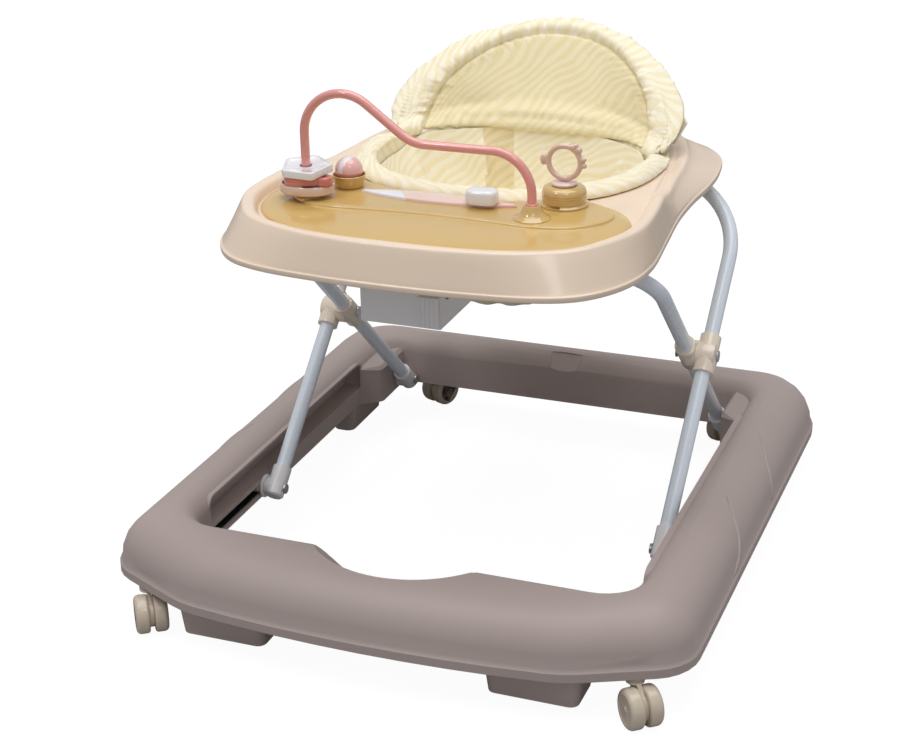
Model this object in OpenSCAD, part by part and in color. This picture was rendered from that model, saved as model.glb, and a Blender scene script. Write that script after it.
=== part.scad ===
// Baby walker: a moulded base ring on four twin-wheel casters, a folding pair of
// crossed leg frames, and a tray with a play panel and a padded fabric seat.
// Millimetres. +Z is up, the child faces -Y, and the origin lies on the floor
// under the middle of the base.

/* [Base ring] */
// Width of the base over its rim
base_w = 612; // [560:1:680]
// Length of the base over its rim
base_l = 694; // [640:1:760]
// Height of the top of the base
base_top = 105; // [98:1:115]
// Height of the underside of the rim
rim_bottom = 46; // [44:0.5:48]
// Height of the rim band
rim_h = 11; // [8:0.5:14]
// How far the rim band stands out from the wall above it
rim_step = 3; // [1.5:0.5:4]
// Wall thickness of the base moulding
base_wall = 3; // [2:0.1:3.5]
// Radius of the outer shoulder of the base
shoulder_r = 45; // [36:1:46]
// Radius of the inner shoulder of the base
inner_r = 22; // [14:1:24]
// Width of each side bar of the base
side_bar = 71; // [70:1:80]
// Width of the front bar of the base
front_bar = 102; // [96:1:110]
// Width of the rear bar of the base
rear_bar = 71; // [70.5:0.5:80]
// Corner radius of the opening in the base
opening_corner = 35; // [25:1:50]
// Angle at which the front edge falls back from the middle
bow_angle = 7.2; // [4:0.2:9]
// How far each front corner is cut back along the side
chamfer_l = 52; // [44:1:64]

/* [Casters] */
// Wheel diameter
wheel_d = 40; // [36:1:42]
// Width of one of the two wheels on a caster
wheel_w = 14; // [10:0.5:16]
// Gap between the two wheels of a caster
wheel_gap = 5; // [4:0.5:7]
// Distance from the swivel axis back to the axle
trail = 14; // [10:0.5:16]
// Diameter of the swivel stem
stem_d = 7; // [5:0.5:8]
// Diameter of the wheel axle
axle_d = 5; // [4:0.5:6]
// Distance of the front casters from the middle
front_caster_x = 256; // [245:1:260]
// Distance of the rear casters from the middle
rear_caster_x = 187; // [150:1:195]

/* [Leg frames] */
// Outer diameter of the leg tube
tube_d = 16; // [14:0.5:18]
// Wall of the leg tube
tube_wall = 1.5; // [1:0.1:2]
// Distance of the inner frame's tubes from the middle
inner_frame_x = 200; // [196:0.5:202]
// Gap between the inner and the outer frame's tubes
frame_gap = 4; // [3.6:0.1:5]
// Height of the lower pivots
pivot_z = 56; // [55:0.5:57]
// Distance of the rear pivots behind the middle
pivot_y = 260; // [250:1:262]
// Length of a leg from its lower pivot to the crossing
leg_low = 225; // [215:1:230]
// Length of a leg from the crossing to its cross tube
leg_high = 220; // [214:1:226]
// Angle of the legs above the floor when the walker stands up
leg_angle = 42.5; // [40:0.5:44]
// Diameter of the pivot pins
pin_d = 6; // [5:0.5:7]

/* [Tray] */
// Height of the underside of the tray rim above its cross tubes' axes
tray_rise = 21.4; // [19:0.1:24]
// Height of the tray from its rim to its deck
tray_h = 28.6; // [26:0.1:32]
// Height of the raised border round the front of the tray above its deck
border_h = 12; // [8:0.5:14]
// Wall thickness of the tray
tray_wall = 3; // [2:0.1:3.5]
// Height of the play panel above the deck
panel_h = 6; // [5:0.5:8]
// Height of the raised terrace on the play panel
terrace_h = 4; // [2:0.5:6]

/* [Seat] */
// Height of the padded seat rim above the deck
seat_pad_h = 15; // [10:1:18]
// Depth of the seat bag below the deck
seat_depth = 148; // [120:1:150]
// Height of the backrest above the deck
backrest_h = 116; // [90:1:130]
// Thickness of the backrest pad
backrest_t = 26; // [18:1:30]

/* [Toys] */
// Diameter of the bead tube
bead_tube_d = 9; // [7:0.5:10]
// Width of the bead stack
bead_w = 58; // [50:1:60]
// Outer diameter of the ring rattle
rattle_d = 39; // [32:1:44]
// Diameter of the ribbed dome
dome_d = 48; // [40:1:50]
// Diameter of the spinning ball
ball_d = 26; // [22:1:28]

/* [Hidden] */
$fn = 64;

// Steps in a quarter turn of the base moulding's shoulders
bar_steps = 6;
bar_fn = 4 * bar_steps;
// Clearances and fits
running = 0.05;
free_gap = 0.3;

// ---------- helpers for outlines and swept walls ----------
function unit(v) = v / norm(v);
function heading(a, b) = unit([b[0] - a[0], b[1] - a[1]]);
function at_z(p, z) = [for (q = p) [q[0], q[1], z]];
function mirrored(h) = concat(h, [for (i = [len(h) - 2:-1:1]) [-h[i][0], h[i][1]]]);
function curve(a, b, c, d, t) =
    0.5 * (2 * b + (c - a) * t + (2 * a - 5 * b + 4 * c - d) * t * t + (3 * b - a - 3 * c + d) * t * t * t);
function smooth(p, k) =
    let (n = len(p))
    [for (i = [0:n - 1], j = [0:k - 1]) curve(p[(i + n - 1) % n], p[i], p[(i + 1) % n], p[(i + 2) % n], j / k)];
function grown(p, d) =
    let (n = len(p))
    [for (i = [0:n - 1]) let (t = unit(p[(i + 1) % n] - p[(i + n - 1) % n])) p[i] + d * [t[1], -t[0]]];
function mix(a, b, f) = a + (b - a) * f;

// A closed skin through rings that return to the first one, like a tyre
module ring_loft(rings) {
    m = len(rings);
    n = len(rings[0]);
    points = [for (r = rings, q = r) q];
    faces = [
        for (i = [0:m - 1], j = [0:n - 1])
            let (
                a = i * n + j,
                b = i * n + (j + 1) % n,
                c = ((i + 1) % m) * n + (j + 1) % n,
                d = ((i + 1) % m) * n + j
            )
            for (f = [[a, d, c], [a, c, b]]) f
    ];
    polyhedron(points, faces, convexity = 6);
}

// A solid through rings from the bottom up, closed by a flat face at each end
module stack_loft(rings) {
    m = len(rings);
    n = len(rings[0]);
    points = [for (r = rings, q = r) q];
    walls = [
        for (i = [0:m - 2], j = [0:n - 1])
            let (a = i * n + j, b = i * n + (j + 1) % n, c = (i + 1) * n + (j + 1) % n, d = (i + 1) * n + j)
            for (f = [[a, d, c], [a, c, b]]) f
    ];
    ends = [[for (j = [0:n - 1]) j], [for (j = [n - 1:-1:0]) (m - 1) * n + j]];
    polyhedron(points, concat(walls, ends), convexity = 6);
}

// Tangent length of the round corner at vertex i of a path of [x, y, r]
function before(p, i) = p[(i + len(p) - 1) % len(p)];
function after(p, i) = p[(i + 1) % len(p)];
function turn_at(p, i) = acos(heading(before(p, i), p[i]) * heading(p[i], after(p, i)));
function tangent_at(p, i) = p[i][2] * tan(turn_at(p, i) / 2);
function flat(v) = [v[0], v[1]];
function corner_centre(p, i) =
    let (d = heading(before(p, i), p[i]))
    flat(p[i]) - d * tangent_at(p, i) + p[i][2] * [-d[1], d[0]];

// k points along the round corner at vertex i, moved outward by u
function corner_points(p, i, u, k) =
    let (d = heading(before(p, i), p[i]), c = corner_centre(p, i), start = atan2(-d[0], d[1]), r = p[i][2] + u)
    [for (j = [0:k - 1]) let (a = start + turn_at(p, i) * j / (k - 1)) c + r * [cos(a), sin(a)]];

// ---------- base ----------
half_w = base_w / 2;
half_l = base_l / 2;
chamfer_x = 197;
bow_r = (chamfer_x / cos(bow_angle) - 18) / tan(bow_angle);
bow_tip = -half_l - bow_r * (1 / cos(bow_angle) - 1);
front_edge = bow_tip + chamfer_x * tan(bow_angle);
chamfer_end = front_edge + chamfer_l;
rear_corner = 75;
chamfer_r = 100;
nose_r = shoulder_r + rim_step + 3;
base_path = [
    [0, bow_tip, bow_r],
    [chamfer_x, front_edge, chamfer_r],
    [half_w, chamfer_end, nose_r],
    [half_w, half_l, rear_corner],
    [-half_w, half_l, rear_corner],
    [-half_w, chamfer_end, nose_r],
    [-chamfer_x, front_edge, chamfer_r]
];
open_x = half_w - side_bar;
open_front = -half_l + front_bar;
open_rear = half_l - rear_bar;
opening_path = [
    [-open_x, open_front, opening_corner],
    [open_x, open_front, opening_corner],
    [open_x, open_rear, opening_corner],
    [-open_x, open_rear, opening_corner]
];
crest = rim_step + shoulder_r;
wall_bottom = rim_bottom - 1;

// Line round the outside of the base at offset u from the rim's face
nose_steps = 6;
bow_steps = 9;
corner_steps = 8;
function outer_line(u) = concat(
    corner_points(base_path, 0, u, bow_steps),
    corner_points(base_path, 1, u, 3),
    corner_points(base_path, 2, u, nose_steps),
    corner_points(base_path, 3, u, corner_steps),
    corner_points(base_path, 4, u, corner_steps),
    corner_points(base_path, 5, u, nose_steps),
    corner_points(base_path, 6, u, 3)
);
// Line round the opening at offset u from its wall, with as many points as the outer line
function opening_line(u) =
    let (span = open_x - opening_corner)
    concat(
        [for (j = [0:bow_steps - 1]) [mix(-span, span, (j + 1) / (bow_steps + 1)), open_front - u]],
        corner_points(opening_path, 1, u, 3 + nose_steps),
        corner_points(opening_path, 2, u, corner_steps),
        corner_points(opening_path, 3, u, corner_steps),
        corner_points(opening_path, 0, u, 3 + nose_steps)
    );

// The moulded skin: over the rim and both shoulders, down the opening's wall and back inside
function shoulder(r, f) = r * [1 - cos(90 * f), sin(90 * f)];
module base_skin() {
    w = base_wall;
    outer_arc = [for (i = [0:bar_steps]) shoulder(shoulder_r, i / bar_steps)];
    inner_arc = [for (i = [bar_steps:-1:0]) shoulder(inner_r, i / bar_steps)];
    under_inner = [for (i = [0:bar_steps - 1]) shoulder(inner_r - w, i / (bar_steps - 1))];
    under_outer = [for (i = [bar_steps - 1:-1:0]) shoulder(shoulder_r - w, i / (bar_steps - 1))];
    ring_loft(concat(
        [
            at_z(outer_line(-rim_step - w), rim_bottom),
            at_z(outer_line(-1), rim_bottom),
            at_z(outer_line(0), rim_bottom + 1),
            at_z(outer_line(0), rim_bottom + rim_h - 1.2),
            at_z(outer_line(-1.2), rim_bottom + rim_h)
        ],
        [for (q = outer_arc) at_z(outer_line(-rim_step - q[0]), base_top - shoulder_r + q[1])],
        [for (q = inner_arc) at_z(opening_line(q[0]), base_top - inner_r + q[1])],
        [at_z(opening_line(0), wall_bottom), at_z(opening_line(w), wall_bottom)],
        [for (q = under_inner) at_z(opening_line(w + q[0]), base_top - inner_r + q[1])],
        [for (q = under_outer) at_z(outer_line(-rim_step - w - q[0]), base_top - shoulder_r + q[1])]
    ));
}

// Outline across a straight bar of width w, inset by d from its skin, with x = 0 at the opening
function bar_outline(w, d, low) = concat(
    [
        for (i = [0:bar_steps])
            let (a = 90 * i / bar_steps)
            [inner_r - (inner_r - d) * cos(a), base_top - inner_r + (inner_r - d) * sin(a)]
    ],
    [
        for (i = [bar_steps:-1:0])
            let (a = 90 * i / bar_steps)
            [w - crest + (shoulder_r - d) * cos(a), base_top - shoulder_r + (shoulder_r - d) * sin(a)]
    ],
    [[w - rim_step - d, low], [d, low]]
);

rib_t = 2.5;
rib_bottom = rim_bottom + 4;
module rib(w) {
    rotate([90, 0, 0])
        translate([0, 0, -rib_t / 2])
        linear_extrude(rib_t)
        polygon(bar_outline(w, base_wall / 2, rib_bottom));
}

// Conical scallop in the inner shoulder of the front or the rear bar
module scallop_cone(r_top, reach, edge, sign, extra) {
    drop = base_top - wall_bottom;
    translate([0, edge + sign * (reach - r_top), wall_bottom])
        cylinder(h = drop, r1 = r_top - drop + extra, r2 = r_top + extra, $fn = 80);
}

module scallop_wall(r_top, reach, edge, sign) {
    intersection() {
        scallop_cone(r_top, reach, edge, sign, base_wall * 1.5);
        rotate([90, 0, sign > 0 ? 90 : -90])
            translate([sign > 0 ? edge : -edge, 0, -r_top - 5])
            linear_extrude(2 * r_top + 10)
            polygon(bar_outline(rear_bar, base_wall / 4, wall_bottom + 0.5));
    }
}

module scallop_cut(r_top, reach, edge, sign) {
    translate([0, 0, 0.5]) scallop_cone(r_top, reach, edge, sign, 0);
    translate([0, 0, -1]) scallop_cone(r_top, reach, edge, sign, 0);
}

front_scallop = [110, 56];
rear_scallop = [80, 18.5];

// Leg geometry in the plane of the fold (y, z)
outer_frame_x = inner_frame_x + tube_d + frame_gap;
cross_point = [pivot_y - leg_low * cos(leg_angle), pivot_z + leg_low * sin(leg_angle)];
rear_pivot = [pivot_y, pivot_z];
front_foot = [pivot_y - 2 * leg_low * cos(leg_angle), pivot_z];
inner_top = cross_point + leg_high * [-cos(leg_angle), sin(leg_angle)];
outer_top = cross_point + leg_high * [cos(leg_angle), sin(leg_angle)];
fold_angle = 33;
foot_travel = 2 * leg_low * (cos(leg_angle - fold_angle) - cos(leg_angle));
top_travel = (leg_low + leg_high) * (cos(leg_angle - fold_angle) - cos(leg_angle));

// Pivot blocks beside the rear corners
cap_d = 21;
block_x = inner_frame_x + cap_d / 2 + free_gap + 0.7;
block_front = pivot_y - 56;
block_top = pivot_z + 34;
block_bottom = rim_bottom - 2;
block_corner = 9;

module block_solid(skin, low) {
    r = block_corner;
    hull() {
        translate([block_x + r, block_front + r, low]) {
            cylinder(h = block_top - skin - low - 4, r = r - skin, $fn = bar_fn);
            cylinder(h = block_top - skin - low, r = r - skin - 4, $fn = bar_fn);
        }
        translate([block_x + skin, open_rear, low]) cube([1, 2, block_top - skin - low - 4]);
        translate([block_x + skin + 4, open_rear, low]) cube([1, 2, block_top - skin - low]);
        translate([open_x + 1 - skin, block_front - 14 + skin, low]) cube([1, 2, block_top - skin - low]);
        translate([open_x + 1 - skin, open_rear, low]) cube([1, 2, block_top - skin - low]);
    }
}

module pivot_block() {
    difference() {
        block_solid(0, block_bottom);
        block_solid(base_wall, block_bottom - 1);
    }
    translate([block_x, rear_pivot[0], rear_pivot[1]])
        rotate([0, 90, 0])
        cylinder(h = open_x + base_wall - block_x, d = pin_d + 7, $fn = bar_fn);
}

// Long pocket in the inner wall of each side bar
pocket_front = front_foot[0] - foot_travel - 10;
pocket_rear = block_front - 6;
pocket_depth = 20;
pocket_low = 66;
pocket_high = 96;
pocket_r = 10;
module pocket(grow) {
    r = pocket_r + grow;
    hull()
        for (y = [pocket_front + pocket_r, pocket_rear - pocket_r], z = [pocket_low + pocket_r, pocket_high - pocket_r])
            translate([open_x - 1, y, z])
                rotate([0, 90, 0])
                cylinder(h = pocket_depth + 1 + grow, r1 = r, r2 = r - 3, $fn = bar_fn);
}

// Slot for the sliding shoe in each side wall, and the rail behind it
slot_h = 12;
shoe_d = 26;
slot_front = front_foot[0] - foot_travel - shoe_d / 2 - 4;
slot_rear = front_foot[0] + shoe_d / 2 + 4;
rail_h = slot_h + 5;
rail_depth = 14;
module rail_space(h, x0, depth, grow) {
    translate([x0, slot_front - grow, pivot_z - h / 2]) cube([depth, slot_rear - slot_front + 2 * grow, h]);
}

// Casters: [x, y, angle of the trail]
boss_bottom = 43;
boss_d = 18;
bush_wall = 1.5;
stem_top = 61;
front_caster_y = chamfer_end - 13;
rear_caster_y = half_l - rear_bar / 2;
casters = [
    [-front_caster_x, front_caster_y, -55],
    [front_caster_x, front_caster_y, -50],
    [-rear_caster_x, rear_caster_y, 68],
    [rear_caster_x, rear_caster_y, 68]
];
front_pad = [112, 212, -half_l + 25, -half_l + 86];
rear_pad = [236, 272, 173, 273];
pad_bottom = 12;
pad_top = rib_bottom;

module caster_boss(c) {
    translate([c[0], c[1], boss_bottom]) {
        cylinder(h = rim_bottom + rim_h - boss_bottom - 1, d = boss_d, $fn = bar_fn);
        cylinder(h = stem_top + 4 - boss_bottom, d = boss_d - 5, $fn = bar_fn);
    }
}

module base_half_detail() {
    pivot_block();
    difference() {
        intersection() {
            pocket(base_wall);
            translate([open_x, -half_l, 0]) cube([side_bar, base_l, base_top - 1]);
        }
        pocket(0);
    }
    for (y = [-225, 10, 120, 225]) translate([open_x, y, 0]) rib(side_bar);
    for (x = [125, 170])
        translate([x, open_front, 0]) rotate(-90) rib(front_bar - x * x / (2 * bow_r) - 0.5);
    for (x = [90, rear_caster_x]) translate([x, open_rear, 0]) rotate(90) rib(rear_bar);
    for (c = [casters[1], casters[3]]) caster_boss(c);
    translate([open_x + 1, slot_front - 3, pivot_z - rail_h / 2 - 2])
        cube([rail_depth + base_wall - 1, slot_rear - slot_front + 6, rail_h + 4]);
}

module base_shell() {
    color([0.6, 0.53, 0.5])
        difference() {
            union() {
                base_skin();
                for (s = [0, 1]) mirror([s, 0, 0]) base_half_detail();
                scallop_wall(front_scallop[0], front_scallop[1], open_front, -1);
                scallop_wall(rear_scallop[0], rear_scallop[1], open_rear, 1);
            }
            scallop_cut(front_scallop[0], front_scallop[1], open_front, -1);
            scallop_cut(rear_scallop[0], rear_scallop[1], open_rear, 1);
            for (s = [0, 1]) mirror([s, 0, 0]) {
                pocket(0);
                rail_space(slot_h, open_x - 1, 1 + base_wall, -2);
                rail_space(rail_h, open_x + base_wall, rail_depth + 1, 0);
                for (c = [casters[1], casters[3]])
                    translate([c[0], c[1], boss_bottom - 1])
                        cylinder(h = stem_top - boss_bottom + 3, d = stem_d + 2 * bush_wall);
                translate([block_x - 1, rear_pivot[0], rear_pivot[1]])
                    rotate([0, 90, 0])
                    cylinder(h = open_x - block_x, d = pin_d);
            }
        }
}

module stopper_pad(p) {
    r = 14;
    hull()
        for (x = [p[0] + r, p[1] - r], y = [p[2] + r, p[3] - r])
            translate([x, y, pad_bottom]) cylinder(h = pad_top - pad_bottom, r1 = r - 5, r2 = r, $fn = 32);
}

module front_stopper_pads() {
    color([0.6, 0.53, 0.5])
        for (s = [0, 1]) mirror([s, 0, 0]) stopper_pad(front_pad);
}

module rear_stopper_pads() {
    color([0.6, 0.53, 0.5])
        for (s = [0, 1]) mirror([s, 0, 0]) stopper_pad(rear_pad);
}

module slide_rail() {
    length = slot_rear - slot_front;
    color([0.12, 0.12, 0.13])
        difference() {
            rail_space(rail_h, open_x + base_wall, rail_depth, 0);
            translate([open_x + base_wall - 1, slot_front + 2, pivot_z - slot_h / 2])
                cube([rail_depth - 1.5, length - 4, slot_h]);
        }
}
module left_slide_rail() { mirror([1, 0, 0]) slide_rail(); }
module right_slide_rail() { slide_rail(); }

module caster_bushes() {
    color([0.75, 0.75, 0.77])
        for (c = casters)
            translate([c[0], c[1], boss_bottom])
                difference() {
                    cylinder(h = stem_top + 2 - boss_bottom, d = stem_d + 2 * bush_wall);
                    translate([0, 0, -1]) cylinder(h = stem_top + 1.2 - boss_bottom, d = stem_d + 2 * running);
                }
}

pin_head_h = 2;
module leg_pivot_pins() {
    color([0.8, 0.8, 0.82])
        for (s = [0, 1])
            mirror([s, 0, 0])
                translate([0, rear_pivot[0], rear_pivot[1]])
                rotate([0, 90, 0]) {
                    translate([0, 0, inner_frame_x - cap_d / 2 - free_gap - pin_head_h])
                        cylinder(h = pin_head_h, d = pin_d + 5);
                    translate([0, 0, inner_frame_x - cap_d / 2 - free_gap])
                        cylinder(h = open_x - 1 - inner_frame_x + cap_d / 2 + free_gap, d = pin_d);
                }
}

// ---------- casters ----------
wheel_z = wheel_d / 2;
hub_r = 14;
fork_t = wheel_gap - 2 * free_gap;

// Puts a caster drawn at the origin, trailing along +X, in its place
module on_caster(i) {
    translate([casters[i][0], casters[i][1], 0]) rotate(casters[i][2]) children();
}

module fork() {
    color([0.85, 0.8, 0.72])
        difference() {
            union() {
                translate([trail, fork_t / 2, wheel_z]) rotate([90, 0, 0]) cylinder(h = fork_t, r = hub_r);
                translate([0, fork_t / 2, 0])
                    rotate([90, 0, 0])
                    linear_extrude(fork_t)
                    polygon([
                        [-boss_d / 2, boss_bottom - 1],
                        [-boss_d / 2, boss_bottom - 5],
                        [trail - hub_r + 0.2, wheel_z],
                        [trail + hub_r - 0.5, wheel_z + 3],
                        [boss_d / 2, boss_bottom - 1]
                    ]);
                translate([0, 0, wheel_d + free_gap])
                    cylinder(h = boss_bottom - wheel_d - 2 * free_gap, d = boss_d);
            }
            translate([0, 0, wheel_z + hub_r / 2]) cylinder(h = boss_bottom, d = fork_t - 1.2);
            translate([trail, fork_t, wheel_z]) rotate([90, 0, 0]) cylinder(h = 2 * fork_t, d = axle_d);
        }
}

module caster_pins() {
    color([0.75, 0.75, 0.77]) {
        translate([0, 0, boss_bottom - free_gap]) cylinder(h = stem_top - boss_bottom, d = stem_d);
        translate([trail, wheel_gap / 2 + wheel_w - 2.5, wheel_z])
            rotate([90, 0, 0])
            cylinder(h = wheel_gap + 2 * wheel_w - 5, d = axle_d);
    }
}

// One wheel: a rounded tread, a domed face and a bore closed by a hub cap
module wheel() {
    r = wheel_d / 2;
    difference() {
        rotate_extrude()
            union() {
                square([r - 3, wheel_w - 2]);
                translate([0, 3]) square([r, wheel_w - 8]);
                translate([r - 3, 3]) circle(3);
                translate([r - 5, wheel_w - 5]) circle(5);
                translate([0, wheel_w - 5]) square([r - 5, 5]);
            }
        translate([0, 0, -1]) cylinder(h = wheel_w - 1.4, d = axle_d + 2 * running);
        difference() {
            translate([0, 0, wheel_w - 0.8]) cylinder(h = 2, r = r - 6);
            translate([0, 0, wheel_w - 3]) cylinder(h = 6, d = 7);
        }
    }
}

module wheels() {
    color([0.88, 0.83, 0.75])
        translate([trail, 0, wheel_z])
        for (s = [-1, 1]) translate([0, s * wheel_gap / 2, 0]) rotate([-90 * s, 0, 0]) wheel();
}

module front_left_fork() { on_caster(0) fork(); }
module front_right_fork() { on_caster(1) fork(); }
module rear_left_fork() { on_caster(2) fork(); }
module rear_right_fork() { on_caster(3) fork(); }
module front_left_pins() { on_caster(0) caster_pins(); }
module front_right_pins() { on_caster(1) caster_pins(); }
module rear_left_pins() { on_caster(2) caster_pins(); }
module rear_right_pins() { on_caster(3) caster_pins(); }
module front_left_wheels() { on_caster(0) wheels(); }
module front_right_wheels() { on_caster(1) wheels(); }
module rear_left_wheels() { on_caster(2) wheels(); }
module rear_right_wheels() { on_caster(3) wheels(); }

// ---------- leg frames ----------
// Draws along a leg: origin on its lower pivot, +Z up the leg
module along_inner() { translate([0, rear_pivot[0], rear_pivot[1]]) rotate([90 - leg_angle, 0, 0]) children(); }
module along_outer() { translate([0, front_foot[0], front_foot[1]]) rotate([leg_angle - 90, 0, 0]) children(); }

module tube_ring() {
    difference() {
        circle(d = tube_d);
        circle(d = tube_d - 2 * tube_wall);
    }
}

leg_length = leg_low + leg_high;
tube_end = 4;

// Tube through a list of [straight length, bend radius, bend angle], bending towards -X
module bent_tube(steps, i = 0) {
    if (i < len(steps)) {
        straight = steps[i][0];
        r = steps[i][1];
        bend = steps[i][2];
        linear_extrude(straight) children();
        if (bend > 0)
            translate([-r, 0, straight])
                rotate([90, 0, 0])
                rotate_extrude(angle = bend)
                translate([r, 0]) children();
        translate([-r * (1 - cos(bend)), 0, straight + r * sin(bend)])
            rotate([0, -bend, 0])
            bent_tube(steps, i + 1) children();
    }
}

inner_bend_r = 70;
outer_bend_r = 102;
function frame_steps(x, r) = [[tube_end + leg_length - r, r, 90], [x - r, 0, 0]];

module cross_bore(x0, x1, z, d) {
    translate([x0, 0, z]) rotate([0, 90, 0]) cylinder(h = x1 - x0, d = d);
}

module frame_tube(x, r, foot_bore, cross_hole) {
    color([0.78, 0.81, 0.84])
        difference() {
            for (s = [0, 1]) mirror([s, 0, 0]) translate([x, 0, -tube_end]) bent_tube(frame_steps(x, r)) tube_ring();
            cross_bore(-x - tube_d, x + tube_d, 0, foot_bore);
            cross_bore(-x - tube_d, x + tube_d, leg_low, cross_hole);
        }
}

module inner_leg_frame() {
    along_inner() frame_tube(inner_frame_x, inner_bend_r, pin_d + 2 * running, pin_d + 2 * running);
}
module outer_leg_frame() {
    along_outer() frame_tube(outer_frame_x, outer_bend_r, pin_d, pin_d);
}

// Moulded cap on the foot of a leg, with a hinge boss towards the wall
cap_low = 11;
cap_high = 24;
module leg_cap(x, bore, reach) {
    difference() {
        union() {
            translate([x, 0, 2 - cap_low]) cylinder(h = cap_high + cap_low - 2, d = cap_d);
            translate([x, 0, -cap_low]) cylinder(h = 2, d1 = cap_d - 4, d2 = cap_d);
            translate([x, 0, 0]) rotate([0, 90, 0]) cylinder(h = reach, d = cap_d);
        }
        translate([x, 0, -tube_end]) cylinder(h = cap_high + tube_end + 1, d = tube_d);
        cross_bore(x - cap_d, x + cap_d, 0, bore);
    }
}

module inner_leg_caps() {
    color([0.88, 0.88, 0.88])
        along_inner()
        for (s = [0, 1]) mirror([s, 0, 0]) leg_cap(inner_frame_x, pin_d + 2 * running, cap_d / 2 + 0.7);
}

module outer_leg_caps() {
    color([0.88, 0.88, 0.88])
        along_outer()
        for (s = [0, 1]) mirror([s, 0, 0]) leg_cap(outer_frame_x, pin_d, cap_d / 2 + 0.2);
}

// Sleeves that clasp the tubes where the legs cross, joined by a rivet
sleeve_l = 44;
sleeve_d = 23;
mid_x = (inner_frame_x + outer_frame_x) / 2;
module coupler(x, bore, side) {
    difference() {
        intersection() {
            union() {
                translate([x, 0, leg_low - sleeve_l / 2]) cylinder(h = sleeve_l, d = sleeve_d);
                translate([x, 0, leg_low])
                    rotate([0, 90, 0])
                    cylinder(h = side > 0 ? mid_x - x : x - mid_x, d = sleeve_l * 0.6);
                translate([x, 0, leg_low])
                    rotate([0, 90, 0])
                    translate([0, 0, side > 0 ? 0 : mid_x - x])
                    cylinder(h = abs(mid_x - x), d = sleeve_l * 0.66);
            }
            translate([side > 0 ? mid_x - 50 - free_gap / 2 : mid_x + free_gap / 2, -50, leg_low - 50])
                cube([50, 100, 100]);
        }
        translate([x, 0, leg_low - sleeve_l]) cylinder(h = 2 * sleeve_l, d = tube_d);
        cross_bore(x - sleeve_d, x + sleeve_d, leg_low, bore);
    }
}

module inner_couplers() {
    color([0.88, 0.79, 0.71])
        along_inner()
        for (s = [0, 1]) mirror([s, 0, 0]) coupler(inner_frame_x, pin_d + 2 * running, 1);
}

module outer_couplers() {
    color([0.88, 0.79, 0.71])
        along_outer()
        for (s = [0, 1]) mirror([s, 0, 0]) coupler(outer_frame_x, pin_d, -1);
}

rivet_head = 1.6;
module coupler_rivets() {
    inner_end = inner_frame_x - sleeve_d / 2 - free_gap;
    outer_end = outer_frame_x + sleeve_d / 2;
    color([0.8, 0.8, 0.82])
        along_outer()
        for (s = [0, 1])
            mirror([s, 0, 0]) {
                cross_bore(inner_end, outer_end, leg_low, pin_d);
                cross_bore(inner_end - rivet_head, inner_end, leg_low, pin_d + 6);
                cross_bore(outer_end, outer_end + rivet_head, leg_low, pin_d + 6);
            }
}

module adjuster_sleeve() {
    color([0.2, 0.2, 0.21])
        along_inner()
        translate([housing_x0 + housing_wall + 1, 0, leg_length])
        rotate([0, 90, 0])
        difference() {
            cylinder(h = rack_x0 - housing_x0 - housing_wall - 2, d = tube_d + 3);
            translate([0, 0, -1]) cylinder(h = 60, d = tube_d);
        }
}

shoe_t = 3.4;
shoe_end = open_x + base_wall + rail_depth - 2.5 - 2 * free_gap;
module shoe_pins() {
    head_x = outer_frame_x - cap_d / 2 - pin_head_h;
    color([0.8, 0.8, 0.82])
        for (s = [0, 1])
            mirror([s, 0, 0])
                translate([0, front_foot[0], front_foot[1]]) {
                    cross_bore(head_x, head_x + pin_head_h, 0, pin_d + 5);
                    cross_bore(head_x + pin_head_h, shoe_end - 3, 0, pin_d);
                }
}

module slide_shoe() {
    start = open_x - free_gap - shoe_t;
    color([0.9, 0.9, 0.9])
        translate([0, front_foot[0], front_foot[1]])
        difference() {
            union() {
                cross_bore(start, start + shoe_t, 0, shoe_d);
                translate([start + shoe_t, 0, 0])
                    rotate([0, 90, 0])
                    linear_extrude(shoe_end - start - shoe_t)
                    union() {
                        for (y = [-6, 6]) translate([0, y]) circle(d = slot_h - 2 * free_gap);
                        square([slot_h - 2 * free_gap, 12], center = true);
                    }
            }
            cross_bore(start - 1, shoe_end - 2.9, 0, pin_d + 2 * running);
        }
}
module left_slide_shoe() { mirror([1, 0, 0]) slide_shoe(); }
module right_slide_shoe() { slide_shoe(); }

// ---------- tray ----------
rim_z = inner_top[1] + tray_rise;
deck_z = rim_z + tray_h;
lip_h = 6;
// Half outlines, from the front middle round to the rear middle
rim_half = [
    [0, -254], [72, -251], [138, -242], [180, -222], [208, -180], [217, -126], [211, -52], [204, 20],
    [203, 80], [206, 136], [204, 190], [191, 246], [152, 290], [80, 312], [0, 318]
];
edge_half = [
    [0, -239], [62, -237], [116, -227], [164, -204], [192, -164], [206, -118], [203, -50], [193, 20],
    [186, 80], [182, 130], [172, 182], [150, 238], [118, 266], [66, 284], [0, 290]
];
hole_half = [
    [0, -57], [32, -56], [62, -50], [90, -37], [115, -17], [135, 8], [150, 40], [157, 75],
    [158, 105], [152, 140], [140, 172], [118, 205], [88, 230], [48, 246], [0, 250]
];
seat_half = [
    [0, -44], [30, -43], [57, -38], [82, -26], [104, -8], [122, 14], [136, 43], [143, 75],
    [144, 104], [138, 134], [122, 160], [98, 180], [70, 196], [37, 206], [0, 209]
];
rim_line = smooth(mirrored(rim_half), 3);
edge_line = smooth(mirrored(edge_half), 3);
hole_line = smooth(mirrored(hole_half), 3);

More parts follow.
